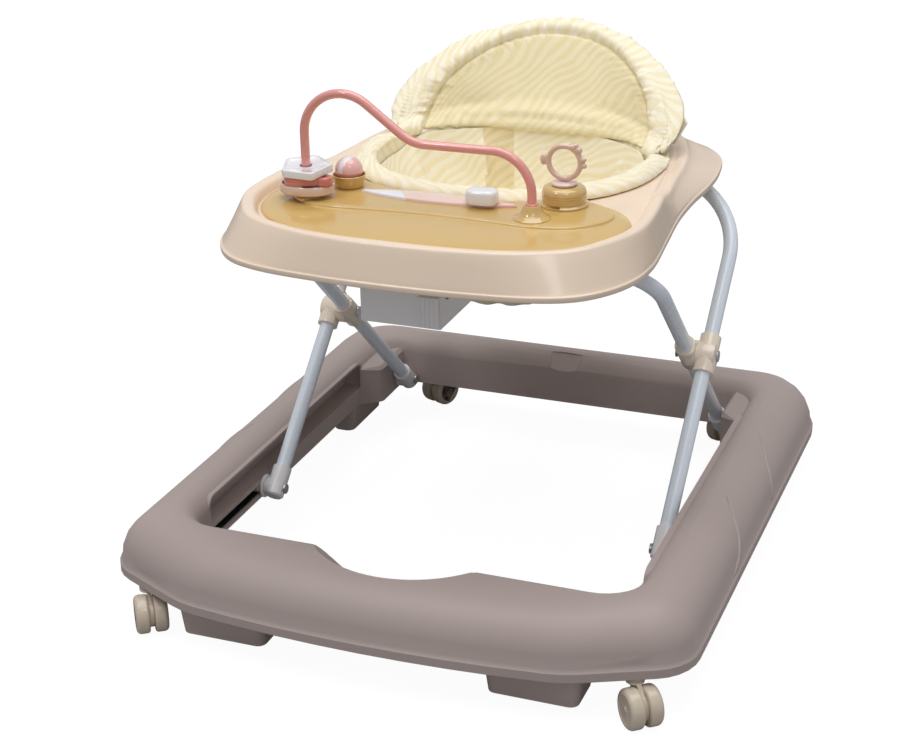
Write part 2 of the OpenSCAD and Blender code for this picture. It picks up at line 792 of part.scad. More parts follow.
// Top of the border: raised round the play area and level with the deck behind it
function border_top(y) =
    let (f = min(1, max(0, (40 - y) / 70)))
    deck_z + border_h * f * f * (3 - 2 * f);
function on_border(p, drop) = [for (q = p) [q[0], q[1], border_top(q[1]) - drop]];
function skirt(share, inset, drop) =
    [
        for (q = grown(mix(rim_line, edge_line, share), -inset))
            [q[0], q[1], mix(rim_z + lip_h + 1.5, border_top(q[1]) - 7, (share - 0.12) / 0.74) - drop]
    ];
module tray_shell() {
    w = tray_wall;
    color([0.94, 0.87, 0.8])
        ring_loft([
            at_z(rim_line, rim_z),
            at_z(rim_line, rim_z + lip_h),
            skirt(0.12, 0, 0),
            skirt(0.5, 0, 0),
            skirt(0.86, 0, 0),
            on_border(edge_line, 1.8),
            on_border(grown(edge_line, -3), 0),
            on_border(grown(edge_line, -11), 0.6),
            on_border(grown(edge_line, -14.5), 2.4),
            at_z(grown(edge_line, -17), deck_z),
            at_z(grown(hole_line, 5), deck_z),
            at_z(grown(hole_line, 1.4), deck_z - 1.4),
            at_z(hole_line, deck_z - 5),
            at_z(hole_line, deck_z - 15),
            at_z(grown(hole_line, w), deck_z - 15),
            at_z(grown(hole_line, w + 2), deck_z - w),
            at_z(grown(edge_line, -6), deck_z - w),
            skirt(0.86, w, 2),
            skirt(0.5, w, 2),
            skirt(0.12, w, 2),
            at_z(grown(rim_line, -w - 0.5), rim_z)
        ]);
}

clamp_x = 88;
clamp_w = 18;
clamp_t = 3.5;
module tube_clamps() {
    top = deck_z - tray_wall;
    color([0.88, 0.88, 0.88])
        for (s = [0, 1])
            mirror([s, 0, 0])
                translate([clamp_x, outer_top[0], outer_top[1]])
                difference() {
                    union() {
                        rotate([0, 90, 0]) cylinder(h = clamp_w, d = tube_d + 2 * clamp_t, center = true);
                        translate([-clamp_w / 2, -tube_d / 2 - clamp_t, 0])
                            cube([clamp_w, tube_d / 2 + clamp_t + 2, top - outer_top[1]]);
                        translate([-clamp_w / 2 - 11, -tube_d / 2 - clamp_t, top - outer_top[1] - 4])
                            cube([clamp_w + 22, tube_d / 2 + clamp_t + 2, 4]);
                    }
                    rotate([0, 90, 0]) cylinder(h = clamp_w + 2, d = tube_d + 2 * running, center = true);
                    for (x = [-1, 1])
                        translate([x * (clamp_w / 2 + 5.5), -5, top - outer_top[1] - 5]) cylinder(h = 6, d = 4);
                }
}

module clamp_screws() {
    top = deck_z - tray_wall;
    color([0.7, 0.7, 0.72])
        for (s = [-1, 1], x = [-1, 1])
            translate([s * clamp_x + x * (clamp_w / 2 + 5.5), outer_top[0] - 5, top - 6.2]) {
                cylinder(h = 6.2, d = 4);
                cylinder(h = 2.2, d = 7.5);
            }
}

// Height adjuster: a box under the front of the deck with a track for the inner frame's cross tube
housing_x0 = -50;
housing_x1 = 32;
housing_front = -200;
housing_rear = -46;
housing_wall = 2.5;
housing_bottom = rim_z - 54.4;
rack_x0 = -20;
rack_x1 = 2;
track_gap = 1;
window = [14, 28, housing_bottom + 9, housing_bottom + 24];
module adjuster_housing() {
    top = deck_z - tray_wall;
    depth = housing_rear - housing_front;
    front_wall = housing_front + housing_wall;
    color([0.82, 0.83, 0.84])
        difference() {
            translate([housing_x0, housing_front, housing_bottom])
                cube([housing_x1 - housing_x0, depth, top - housing_bottom]);
            translate([housing_x0 + housing_wall, front_wall, housing_bottom + housing_wall])
                cube([housing_x1 - housing_x0 - 2 * housing_wall, depth - 2 * housing_wall, top]);
            hull()
                for (y = [inner_top[0] - top_travel, inner_top[0]])
                    translate([housing_x0 - 1, y, inner_top[1]])
                        rotate([0, 90, 0])
                        cylinder(h = housing_x1 - housing_x0 + 2, d = tube_d + 2 * track_gap);
            translate([window[0], housing_front - 1, window[2]])
                cube([window[1] - window[0], housing_wall + 2, window[3] - window[2]]);
            translate([housing_x0 - 1, hole_half[0][1] - tray_wall - 1, deck_z - 15.5])
                cube([housing_x1 - housing_x0 + 2, depth, 20]);
        }
}

module adjuster_rack() {
    low = housing_bottom + housing_wall;
    high = inner_top[1] - tube_d / 2 + 3;
    color([0.2, 0.2, 0.21])
        translate([rack_x0, 0, 0])
        rotate([90, 0, 90])
        linear_extrude(rack_x1 - rack_x0)
        difference() {
            translate([housing_front + 16, low]) square([housing_rear - housing_front - 26, high - low]);
            translate([inner_top[0] - top_travel, inner_top[1]]) circle(d = tube_d + 2 * track_gap);
            translate([inner_top[0], inner_top[1]]) circle(d = tube_d + 2 * track_gap);
            translate([inner_top[0] - top_travel, inner_top[1] - tube_d / 2 - track_gap]) square([top_travel, tube_d]);
            for (f = [0.28, 0.56]) translate([inner_top[0] - top_travel * f, inner_top[1] - 1]) circle(d = tube_d + 4);
        }
}

lever_w = 21;
lever_travel = 6;
lever_x = (window[0] + window[1]) / 2;
module adjuster_lever() {
    neck_z = window[3] - 1 - free_gap - 6;
    color([0.92, 0.92, 0.93]) {
        difference() {
            translate([lever_x - lever_w / 2, housing_front - free_gap - 5, housing_bottom + 3])
                cube([lever_w, 5, 30]);
            for (i = [0:3])
                translate([lever_x - lever_w / 2 + 3.6 + i * 4.6, housing_front - free_gap - 5, housing_bottom + 2])
                    cylinder(h = 32, d = 1.6);
        }
        translate([window[0] + 1, housing_front - free_gap - 0.01, neck_z])
            cube([window[1] - window[0] - 2, housing_wall + 12, 6]);
    }
}

// Coil under the lever's neck
spring_r = 4;
spring_wire = 1.2;
spring_turns = 4;
module lever_spring() {
    low = housing_bottom + housing_wall + spring_wire / 2;
    high = window[3] - 7 - free_gap - spring_wire / 2;
    steps = 12 * spring_turns;
    centre = [lever_x, housing_front + housing_wall + 7];
    path = [
        for (i = [0:steps])
            [centre[0] + spring_r * cos(30 * i), centre[1] + spring_r * sin(30 * i), mix(low, high, i / steps)]
    ];
    side = 6;
    rings = [
        for (i = [0:steps])
            [
                for (j = [0:side - 1])
                    path[i] + spring_wire / 2 * [
                        cos(30 * i) * cos(60 * j), sin(30 * i) * cos(60 * j), -sin(60 * j)
                    ]
            ]
    ];
    color([0.7, 0.7, 0.72]) stack_loft([for (r = rings) [for (j = [side - 1:-1:0]) r[j]]]);
}

// ---------- play panel and toys ----------
panel_half = [
    [0, -204], [62, -200], [114, -189], [149, -169], [173, -137], [182, -104], [174, -73],
    [150, -50], [122, -43], [98, -50], [70, -68], [35, -77], [0, -79]
];
terrace_half = [
    [0, -155], [56, -154], [104, -150], [138, -140], [160, -119], [170, -95], [163, -75],
    [145, -59], [122, -52], [99, -58], [72, -76], [36, -85], [0, -87]
];
panel_line = smooth(mirrored(panel_half), 3);
terrace_line = smooth(mirrored(terrace_half), 3);
panel_top = deck_z + panel_h;
play_z = panel_top + terrace_h;
module activity_panel() {
    color([0.87, 0.77, 0.53])
        stack_loft([
            at_z(panel_line, deck_z),
            at_z(grown(panel_line, -0.8), panel_top - 2.6),
            at_z(grown(panel_line, -2.4), panel_top - 0.8),
            at_z(grown(panel_line, -5.5), panel_top),
            at_z(grown(terrace_line, 1), panel_top + 0.01),
            at_z(terrace_line, play_z - 1),
            at_z(grown(terrace_line, -1.5), play_z)
        ]);
}

// Leaf-shaped track with a slot for the sliding knob
leaf_c = [-10, -95];
leaf_l = 164;
leaf_w = 28;
leaf_t = 2.5;
inlay_t = 1;
knob_rest = 40;
knob_travel = 84;
knob_stem = 6;
module leaf(l, w) {
    r = (l * l / 4 + w * w / 4) / w;
    intersection() {
        translate([0, r - w / 2]) circle(r, $fn = 200);
        translate([0, w / 2 - r]) circle(r, $fn = 200);
    }
}
module knob_slot() {
    for (x = [knob_rest - knob_travel, knob_rest]) translate([x, leaf_c[1]]) circle(d = knob_stem + 2 * free_gap);
    translate([knob_rest - knob_travel, leaf_c[1] - knob_stem / 2 - free_gap])
        square([knob_travel, knob_stem + 2 * free_gap]);
}
module leaf_track() {
    color([0.95, 0.95, 0.96])
        translate([0, 0, play_z])
        linear_extrude(leaf_t)
        difference() {
            translate(leaf_c) leaf(leaf_l, leaf_w);
            knob_slot();
        }
}
module leaf_inlay() {
    color([0.93, 0.72, 0.7])
        translate([0, 0, play_z + leaf_t])
        linear_extrude(inlay_t)
        difference() {
            intersection() {
                translate(leaf_c) leaf(leaf_l - 8, leaf_w - 5);
                translate([-52, leaf_c[1] - leaf_w]) square([leaf_l, 2 * leaf_w]);
            }
            knob_slot();
        }
}
module slider_knob() {
    base = play_z + leaf_t + inlay_t + free_gap;
    color([0.95, 0.95, 0.96]) {
        hull() {
            for (x = [-4, 4]) translate([knob_rest + x, leaf_c[1], base]) cylinder(h = 5, r = 12, $fn = 32);
            for (x = [-3, 3])
                translate([knob_rest + x, leaf_c[1], base + 5]) cylinder(h = 6, r1 = 11, r2 = 5, $fn = 32);
        }
        translate([knob_rest, leaf_c[1], play_z + free_gap]) cylinder(h = leaf_t + inlay_t + 1, d = knob_stem);
    }
}

// Ball that spins on a post in a flared cup
cup_c = [-112, -80];
cup_h = 13;
post_d = 5;
ball_z = play_z + 18;
module ball_cup() {
    color([0.87, 0.77, 0.53])
        translate([cup_c[0], cup_c[1], play_z]) {
            rotate_extrude()
                polygon([
                    [0, 0], [12, 0], [13, 3], [ball_d / 2 + 2.6, cup_h], [ball_d / 2 + 1, cup_h],
                    [10, 4], [7, 2.5], [0, 2.5]
                ]);
            cylinder(h = ball_z - play_z, d = post_d);
        }
}
module spinning_ball() {
    color([0.95, 0.9, 0.9])
        translate([cup_c[0], cup_c[1], ball_z])
        difference() {
            sphere(d = ball_d);
            translate([0, 0, -ball_d]) cylinder(h = ball_d + free_gap, d = post_d + 2 * running);
        }
}

// Bead tube: up from the left foot, over an arch, down a slope, along and down into the collar
slope = atan(3 / 4);
bead_left = [-140, -120];
bead_span = 236;
arch_r = 42;
arch_rise = 64;
sweep_r = 40;
slope_l = 45;
foot_h = 4;
foot_d = 36;
module bead_bend(c, r, start, turn) {
    translate([c[0], 0, c[1]])
        rotate([90, 0, 0])
        rotate(start)
        rotate_extrude(angle = turn)
        translate([r, 0]) circle(d = bead_tube_d);
}
module bead_run(from, to) {
    d = to - from;
    translate([from[0], 0, from[1]])
        rotate([0, 90 - atan2(d[1], d[0]), 0])
        cylinder(h = norm(d), d = bead_tube_d);
}
module bead_tube() {
    down = [sin(slope), cos(slope)];
    arch_c = [arch_r, arch_rise];
    arch_end = arch_c + arch_r * down;
    slope_end = arch_end + slope_l * [cos(slope), -sin(slope)];
    dip_c = slope_end + sweep_r * down;
    level = dip_c[1] - sweep_r;
    last_c = [bead_span - sweep_r, level - sweep_r];
    color([0.87, 0.57, 0.55])
        translate([bead_left[0], bead_left[1], play_z]) {
            bead_run([0, 0], [0, arch_rise]);
            bead_bend(arch_c, arch_r, 90 - slope, 90 + slope);
            bead_run(arch_end, slope_end);
            bead_bend(dip_c, sweep_r, 270 - slope, slope);
            bead_run([dip_c[0], level], [last_c[0], level]);
            bead_bend(last_c, sweep_r, 0, 90);
            bead_run([bead_span, 0], [bead_span, last_c[1]]);
        }
}
module bead_foot() {
    color([0.87, 0.77, 0.53])
        translate([bead_left[0], bead_left[1], play_z])
        difference() {
            union() {
                cylinder(h = foot_h - 1, d = foot_d);
                translate([0, 0, foot_h - 1]) cylinder(h = 1, d1 = foot_d, d2 = foot_d - 2);
            }
            translate([0, 0, -1]) cylinder(h = foot_h + 2, d = bead_tube_d);
        }
}
module tube_collar() {
    color([0.87, 0.77, 0.53])
        translate([bead_left[0] + bead_span, bead_left[1], play_z])
        difference() {
            rotate_extrude()
                polygon([
                    [0, 0], [19, 0], [19, 2], [16, 6], [12, 13], [10, 16], [7.5, 16], [7.5, 18.5], [0, 18.5]
                ]);
            translate([0, 0, -1]) cylinder(h = 21, d = bead_tube_d);
        }
}

bead_bore = bead_tube_d + 1;
oval_z = play_z + foot_h + 0.4;
oval_h = 9;
slab_z = oval_z + oval_h + 0.4;
slab_h = 9;
pentagon_z = slab_z + slab_h + 0.4;
pentagon_h = 7;
module bead_bore_cut(z) { translate([bead_left[0], bead_left[1], z - 1]) cylinder(h = 20, d = bead_bore); }
module oval_bead() {
    color([0.85, 0.7, 0.62])
        difference() {
            translate([bead_left[0], bead_left[1], oval_z])
                linear_extrude(oval_h)
                union() {
                    for (x = [-8, 8]) translate([x, 0]) circle(bead_w / 2 - 8);
                    square([16, bead_w - 16], center = true);
                }
            translate([bead_left[0], bead_left[1], oval_z + oval_h - 4])
                linear_extrude(5)
                difference() {
                    union() {
                        for (x = [-8, 8]) translate([x, 0]) circle(bead_w / 2 - 12);
                        square([16, bead_w - 24], center = true);
                    }
                    circle(9);
                }
            bead_bore_cut(oval_z);
        }
}
module slab_bead() {
    color([0.71, 0.4, 0.35])
        difference() {
            union() {
                translate([bead_left[0], bead_left[1], slab_z])
                    linear_extrude(slab_h - 2)
                    union() {
                        circle(bead_w / 2 - 9);
                        translate([15, -2]) circle(11);
                        translate([-14, 4]) circle(12);
                        translate([-4, -13]) circle(10);
                    }
                translate([bead_left[0], bead_left[1], slab_z]) cylinder(h = slab_h, d = bead_bore + 8);
            }
            translate([bead_left[0] + 17, bead_left[1] - 2, slab_z - 1]) cylinder(h = slab_h + 2, d = 7);
            bead_bore_cut(slab_z);
        }
}
module pentagon_bead() {
    color([0.95, 0.95, 0.96])
        difference() {
            translate([bead_left[0], bead_left[1], pentagon_z])
                linear_extrude(pentagon_h)
                intersection() {
                    rotate(18) circle(bead_w / 2 - 2, $fn = 5);
                    circle(bead_w / 2 - 4);
                }
            bead_bore_cut(pentagon_z);
        }
}

// Ribbed dome with a turning disc that carries the ring rattle
dome_c = [112, -70];
dome_h = 20;
disc_d = 28;
disc_t = 3;
rattle_t = 8;
rattle_z = play_z + dome_h + free_gap + disc_t + rattle_d / 2 - 0.5;
module ribbed_dome() {
    r = dome_d / 2;
    color([0.87, 0.77, 0.53])
        translate([dome_c[0], dome_c[1], play_z])
        difference() {
            rotate_extrude()
                polygon([
                    [0, 0], [r, 0], [r, 3], [r - 1.2, 4], [r - 1.2, 7], [r - 2.4, 7.6], [r - 2.2, 11], [r - 4, 11.6],
                    [r - 4.4, 14.6], [r - 7, 15.2], [r - 8, 18], [r - 10, dome_h], [0, dome_h]
                ]);
            translate([-7, -r - 1, 4]) cube([14, 3, 3]);
            translate([0, 0, dome_h - 8]) cylinder(h = 9, d = post_d + 2 * running);
        }
}
module dome_disc() {
    color([0.95, 0.88, 0.86])
        translate([dome_c[0], dome_c[1], play_z + dome_h + free_gap]) {
            cylinder(h = disc_t, d = disc_d);
            translate([0, 0, -7]) cylinder(h = 8, d = post_d);
        }
}
module ring_rattle() {
    color([0.88, 0.79, 0.71])
        difference() {
            translate([dome_c[0], dome_c[1] + rattle_t / 2, rattle_z])
                rotate([90, 0, 0])
                linear_extrude(rattle_t)
                difference() {
                    union() {
                        circle(d = rattle_d);
                        for (a = [50, 5, 175]) rotate(a) translate([rattle_d / 2 - 1, 0]) circle(5.5);
                    }
                    circle(d = rattle_d - 13);
                }
            translate([0, -200, play_z + dome_h + free_gap + disc_t - 20]) cube([200, 400, 20]);
        }
}

// ---------- seat ----------
seat_line = smooth(mirrored(seat_half), 3);
rim_outer = grown(hole_line, 9);
function pad_top_z(y) = deck_z + mix(seat_pad_h, 7.5, min(1, max(0, (y - 96) / 44)));
function raised(p, f, low) = [for (q = p) [q[0], q[1], low + (pad_top_z(q[1]) - low) * f]];
module seat_rim() {
    color([0.95, 0.92, 0.82])
        ring_loft([
            at_z(grown(hole_line, -0.6), deck_z - 15),
            at_z(grown(hole_line, -0.6), deck_z + 0.2),
            at_z(rim_outer, deck_z + 0.2),
            raised(rim_outer, 0.55, deck_z),
            raised(mix(rim_outer, seat_line, 0.16), 0.92, deck_z),
            raised(mix(rim_outer, seat_line, 0.4), 1, deck_z),
            raised(mix(rim_outer, seat_line, 0.75), 1, deck_z),
            raised(mix(rim_outer, seat_line, 0.95), 0.7, deck_z),
            at_z(seat_line, deck_z - 15)
        ]);
}

bag_wall = 3;
bag_half = [
    [0, -30], [24, -29], [46, -24], [66, -13], [82, 2], [96, 22], [106, 46], [112, 74],
    [112, 102], [108, 130], [98, 152], [80, 168], [58, 180], [30, 188], [0, 190]
];
bag_line = smooth(mirrored(bag_half), 2);
bag_mouth = smooth(mirrored(seat_half), 2);
bag_low = deck_z - seat_depth;
module bag_solid(g, lift) {
    centre = [0, 78];
    top = deck_z - 15;
    low = bag_low + lift;
    stack_loft([
        at_z([for (p = bag_line) centre + (p - centre) * 0.34], low),
        at_z(grown([for (p = bag_line) centre + (p - centre) * 0.62], -g), mix(low, top, 0.08)),
        at_z(grown([for (p = bag_line) centre + (p - centre) * 0.84], -g), mix(low, top, 0.28)),
        at_z(grown(bag_line, -g), mix(low, top, 0.6)),
        at_z(grown(bag_mouth, 2 - g), top + (lift > 0 ? 0.01 : 0))
    ]);
}
module seat_bag() {
    color([0.95, 0.92, 0.82])
        difference() {
            bag_solid(0, 0);
            bag_solid(bag_wall, bag_wall);
            for (s = [-1, 1])
                translate([s * 52, -60, bag_low + 42])
                    rotate([-90, 0, s * -14])
                    cylinder(h = 90, r = 33, $fn = 32);
        }
}

// Backrest: foot line on the seat rim and crest line, both from the right end to the middle
back_foot = [[147, 134], [140, 150], [122, 172], [92, 192], [54, 204], [0, 209]];
back_crest = [
    [158, 152, 20], [158, 172, 40], [142, 204, 68], [108, 236, 92], [60, 268, 109], [0, 280, backrest_h]
];
function halves(h) =
    concat(h, [for (i = [len(h) - 2:-1:0]) [-h[i][0], h[i][1], len(h[i]) > 2 ? h[i][2] : 0]]);
function open_curve(h, k) =
    let (p = halves([for (q = h) [q[0], q[1], len(q) > 2 ? q[2] : 0]]), n = len(p))
    concat(
        [for (i = [0:n - 2], j = [0:k - 1])
            curve(p[max(0, i - 1)], p[i], p[i + 1], p[min(n - 1, i + 2)], j / k)],
        [p[n - 1]]
    );
foot_curve = open_curve(back_foot, 3);
crest_curve = open_curve(back_crest, 3);
back_base = deck_z + 7.5;
// Outward direction of the backrest at step i, level
function back_out(i) =
    let (
        n = len(foot_curve),
        t = foot_curve[min(n - 1, i + 1)] - foot_curve[max(0, i - 1)],
        u = unit([t[0], t[1]])
    )
    [u[1], -u[0], 0];
// Point on the backrest's front face: f = 0 at the foot, 1 at the crest; d is the depth behind it
function back_point(i, f, d) =
    let (
        a = [foot_curve[i][0], foot_curve[i][1], back_base],
        b = [crest_curve[i][0], crest_curve[i][1], deck_z + crest_curve[i][2]]
    )
    mix(a, b, f) + d * back_out(i);
function cushion_ring(i) =
    let (e = min(1, 0.35 + 0.3 * min(i, len(foot_curve) - 1 - i)), t = backrest_t * e)
    [
        back_point(i, 0, 0), back_point(i, 0.4, -2 * e), back_point(i, 0.75, -2 * e), back_point(i, 0.92, -1),
        back_point(i, 1, t * 0.22), back_point(i, 1, t * 0.62), back_point(i, 0.9, t * 0.95),
        back_point(i, 0.5, t), back_point(i, 0, t)
    ];
function board_ring(i) =
    let (e = min(1, 0.35 + 0.3 * min(i, len(foot_curve) - 1 - i)), t = backrest_t * e)
    [back_point(i, 0, t), back_point(i, 0.5, t), back_point(i, 0.5, t + 2.5), back_point(i, 0, t + 2.5)];
module backrest_cushion() {
    color([0.95, 0.92, 0.82]) stack_loft([for (i = [0:len(foot_curve) - 1]) cushion_ring(i)]);
}
module backrest_board() {
    n = len(foot_curve);
    color([0.85, 0.85, 0.85]) stack_loft([for (i = [4:n - 5]) board_ring(i)]);
}

base_shell();
front_stopper_pads();
rear_stopper_pads();
left_slide_rail();
right_slide_rail();
caster_bushes();
leg_pivot_pins();
front_left_fork();
front_left_pins();
front_left_wheels();
front_right_fork();
front_right_pins();
front_right_wheels();
rear_left_fork();
rear_left_pins();
rear_left_wheels();
rear_right_fork();
rear_right_pins();
rear_right_wheels();
inner_leg_frame();
inner_leg_caps();
inner_couplers();
adjuster_sleeve();
outer_leg_frame();
outer_leg_caps();
outer_couplers();
coupler_rivets();
shoe_pins();
left_slide_shoe();
right_slide_shoe();
tray_shell();
tube_clamps();
clamp_screws();
adjuster_housing();
adjuster_rack();
adjuster_lever();
lever_spring();
activity_panel();
leaf_track();
leaf_inlay();
ball_cup();
spinning_ball();
slider_knob();
bead_foot();
bead_tube();
tube_collar();
oval_bead();
slab_bead();
pentagon_bead();
ribbed_dome();
dome_disc();
ring_rattle();
seat_rim();
seat_bag();
backrest_cushion();
backrest_board();
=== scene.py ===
# Folding baby walker: a moulded base ring on four twin-wheel casters, crossed leg
# tubes, and a tray with a play panel, toys and a padded fabric seat. Metres.
import math
from math import cos, pi, radians, sin

import bpy
from mathutils import Matrix, Vector, kdtree, noise


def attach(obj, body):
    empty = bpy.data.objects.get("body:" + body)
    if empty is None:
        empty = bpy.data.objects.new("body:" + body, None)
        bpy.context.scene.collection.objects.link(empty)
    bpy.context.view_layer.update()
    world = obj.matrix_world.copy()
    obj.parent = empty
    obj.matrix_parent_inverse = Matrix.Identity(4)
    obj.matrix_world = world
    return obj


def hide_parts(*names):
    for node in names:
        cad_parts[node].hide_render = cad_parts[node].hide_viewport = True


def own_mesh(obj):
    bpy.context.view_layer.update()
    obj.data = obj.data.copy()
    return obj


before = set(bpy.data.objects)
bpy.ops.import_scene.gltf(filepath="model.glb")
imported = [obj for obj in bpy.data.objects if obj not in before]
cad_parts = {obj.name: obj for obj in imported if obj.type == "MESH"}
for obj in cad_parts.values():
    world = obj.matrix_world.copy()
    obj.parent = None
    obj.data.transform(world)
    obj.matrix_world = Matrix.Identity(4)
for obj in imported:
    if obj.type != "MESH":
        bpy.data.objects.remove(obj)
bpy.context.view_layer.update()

# --- Studio ---
# A plain pale floor under a pale surround, one wide soft lamp overhead, a small
# one at each side in front, and a camera that looks down from the front right.
CAMERA_AIM = Vector((0.0, -0.0979, 0.232))
CAMERA_TURN = (radians(21.72), radians(23.06), radians(-1.14))  # round, down and roll
CAMERA_DISTANCE = 1.91
CAMERA_LENS = 75.0
LAMPS = [
    # name, place, size, watts
    ("left_lamp", (-0.9, -1.3, 2.3), 0.45, 8.0),
    ("right_lamp", (1.0, -1.5, 2.2), 0.45, 5.0),
    ("top_lamp", (0.05, 0.1, 2.6), 2.2, 38.0),
]
LAMP_AIM = Vector((0, 0, 0.25))
SURROUND_LIGHT = 0.36  # strength of the surround as it lights the part; the camera sees 1
GLOSSY_SHARE = 0.35  # how far reflections see it as the camera does
FLOOR_GREY = 0.38
FLOOR_GLOW = 1.36
FLOOR_GLOW_SHARE = 0.7  # how much of the floor is glow where the camera looks at it


def wired(tree, kind, settings, inputs, out=0):
    """Adds a shader node, sets it, gives its sockets values or links, and returns an output."""
    made = tree.nodes.new("ShaderNode" + kind)
    for key, value in settings.items():
        setattr(made, key, value)
    for key, value in inputs.items():
        if isinstance(value, bpy.types.NodeSocket):
            tree.links.new(value, made.inputs[key])
        else:
            made.inputs[key].default_value = value
    return made.outputs[out]


bpy.ops.mesh.primitive_plane_add(size=14.0)
floor = bpy.context.object
floor.name = "studio_floor"

turn, tilt, roll = CAMERA_TURN
back = Vector((sin(turn) * cos(tilt), -cos(turn) * cos(tilt), sin(tilt)))
level_right = Vector((cos(turn), sin(turn), 0.0))
level_up = back.cross(level_right)
right = cos(roll) * level_right + sin(roll) * level_up
up = cos(roll) * level_up - sin(roll) * level_right
bpy.ops.object.camera_add()
camera = bpy.context.object
camera.data.lens = CAMERA_LENS
camera.data.sensor_width = 36.0
camera.data.clip_end = 50.0
facing = Matrix((right, up, back)).transposed().to_4x4()
camera.matrix_world = Matrix.Translation(CAMERA_AIM + back * CAMERA_DISTANCE) @ facing
bpy.context.scene.camera = camera
for lamp_name, place, size, watts in LAMPS:
    bpy.ops.object.light_add(type="AREA", location=place)
    lamp = bpy.context.object
    lamp.name = lamp_name
    lamp.data.size = size
    lamp.data.energy = watts
    lamp.rotation_euler = (LAMP_AIM - Vector(place)).to_track_quat("-Z", "Y").to_euler()

bpy.context.scene.view_settings.view_transform = "Standard"
world = bpy.data.worlds.new("surround")
bpy.context.scene.world = world
world.use_nodes = True
sky = world.node_tree
rays = sky.nodes.new("ShaderNodeLightPath").outputs
shine = wired(sky, "Math", {"operation": "MULTIPLY"}, {0: rays["Is Glossy Ray"], 1: GLOSSY_SHARE})
seen = wired(sky, "Math", {"operation": "MAXIMUM"}, {0: rays["Is Camera Ray"], 1: shine})
level = wired(sky, "MapRange", {}, {"Value": seen, "To Min": SURROUND_LIGHT, "To Max": 1.0})
sky.links.new(level, sky.nodes["Background"].inputs["Strength"])
sky.nodes["Background"].inputs["Color"].default_value = (1.0, 1.0, 1.0, 1.0)

floor_paint = bpy.data.materials.new("pale_floor")
floor_paint.use_nodes = True
paint = floor_paint.node_tree
matt = paint.nodes["Principled BSDF"]
matt.inputs["Base Color"].default_value = (FLOOR_GREY, FLOOR_GREY, FLOOR_GREY, 1.0)
matt.inputs["Roughness"].default_value = 0.9
glow = wired(paint, "Emission", {}, {"Strength": FLOOR_GLOW})
looks = paint.nodes.new("ShaderNodeLightPath").outputs["Is Camera Ray"]
partly = wired(paint, "Math", {"operation": "MULTIPLY"}, {0: looks, 1: FLOOR_GLOW_SHARE})
lit = wired(paint, "MixShader", {}, {0: partly, 1: matt.outputs[0], 2: glow})
paint.links.new(lit, paint.nodes["Material Output"].inputs["Surface"])
floor.data.materials.append(floor_paint)

# --- Base ring ---
# One large polypropylene moulding in mauve-taupe with a fine spark-eroded
# surface, a little shinier along its edges, which carry a painted highlight.
# Two creases are raised over each shoulder. The stopper pads are the same plastic.


class Tap:
    """One output in a finish's node tree; sums and products of taps add Math nodes."""

    def __init__(self, finish, socket):
        self.finish = finish
        self.socket = socket

    def math(self, operation, other=0.0):
        return self.finish.node("Math", {"operation": operation}, {0: self, 1: other})

    def __add__(self, other):
        return self.math("ADD", other)

    def __sub__(self, other):
        return self.math("SUBTRACT", other)

    def __mul__(self, other):
        return self.math("MULTIPLY", other)


class Finish:
    """A procedural material: one Principled shader and the nodes that feed it."""

    def __init__(self, name, **fixed):
        self.material = bpy.data.materials.new(name)
        self.material.use_nodes = True
        self.tree = self.material.node_tree
        self.shader = self.tree.nodes["Principled BSDF"]
        for socket, value in fixed.items():
            self.shader.inputs[socket.replace("_", " ")].default_value = value

    def node(self, kind, settings, inputs, out=0):
        """Adds a node that is fed with values or taps."""
        sockets = {key: getattr(value, "socket", value) for key, value in inputs.items()}
        return Tap(self, wired(self.tree, kind, settings, sockets, out))

    def feed(self, **taps):
        for socket, tap in taps.items():
            self.tree.links.new(tap.socket, self.shader.inputs[socket.replace("_", " ")])

    def place(self):
        """Where a point is in the part's own frame."""
        return self.node("TexCoord", {}, {}, "Object")

    def along(self, axis):
        return self.node("SeparateXYZ", {}, {"Vector": self.place()}, axis)

    def grain(self, scale, detail=2.0, rough=0.5, at=None):
        return self.node(
            "TexNoise", {},
            {"Vector": at or self.place(), "Scale": scale, "Detail": detail, "Roughness": rough},
        )

    def blend(self, amount, first, second):
        """Mixes two colours."""
        return self.node("Mix", {"data_type": "RGBA"}, {0: amount, 6: first, 7: second}, 2)

    def ramp(self, low, high, to_low, to_high, value):
        return self.node(
            "MapRange", {},
            {"Value": value, "From Min": low, "From Max": high, "To Min": to_low, "To Max": to_high}
        )

    def relief(self, height, depth):
        """Feeds a height to the shader's normal, depth in metres."""
        self.feed(
            Normal=self.node("Bump", {}, {"Height": height, "Strength": 1.0, "Distance": depth})
        )


def colour(red, green, blue):
    """Turns a colour as it is seen on a screen into the linear one that a shader takes."""
    seen_as = [channel / 255 for channel in (red, green, blue)]
    return (*[c / 12.92 if c <= 0.04045 else ((c + 0.055) / 1.055) ** 2.4 for c in seen_as], 1.0)


def tinted(seen_as, change):
    """A colour made lighter or darker."""
    return (*[min(1.0, channel * change) for channel in colour(*seen_as)[:3]], 1.0)


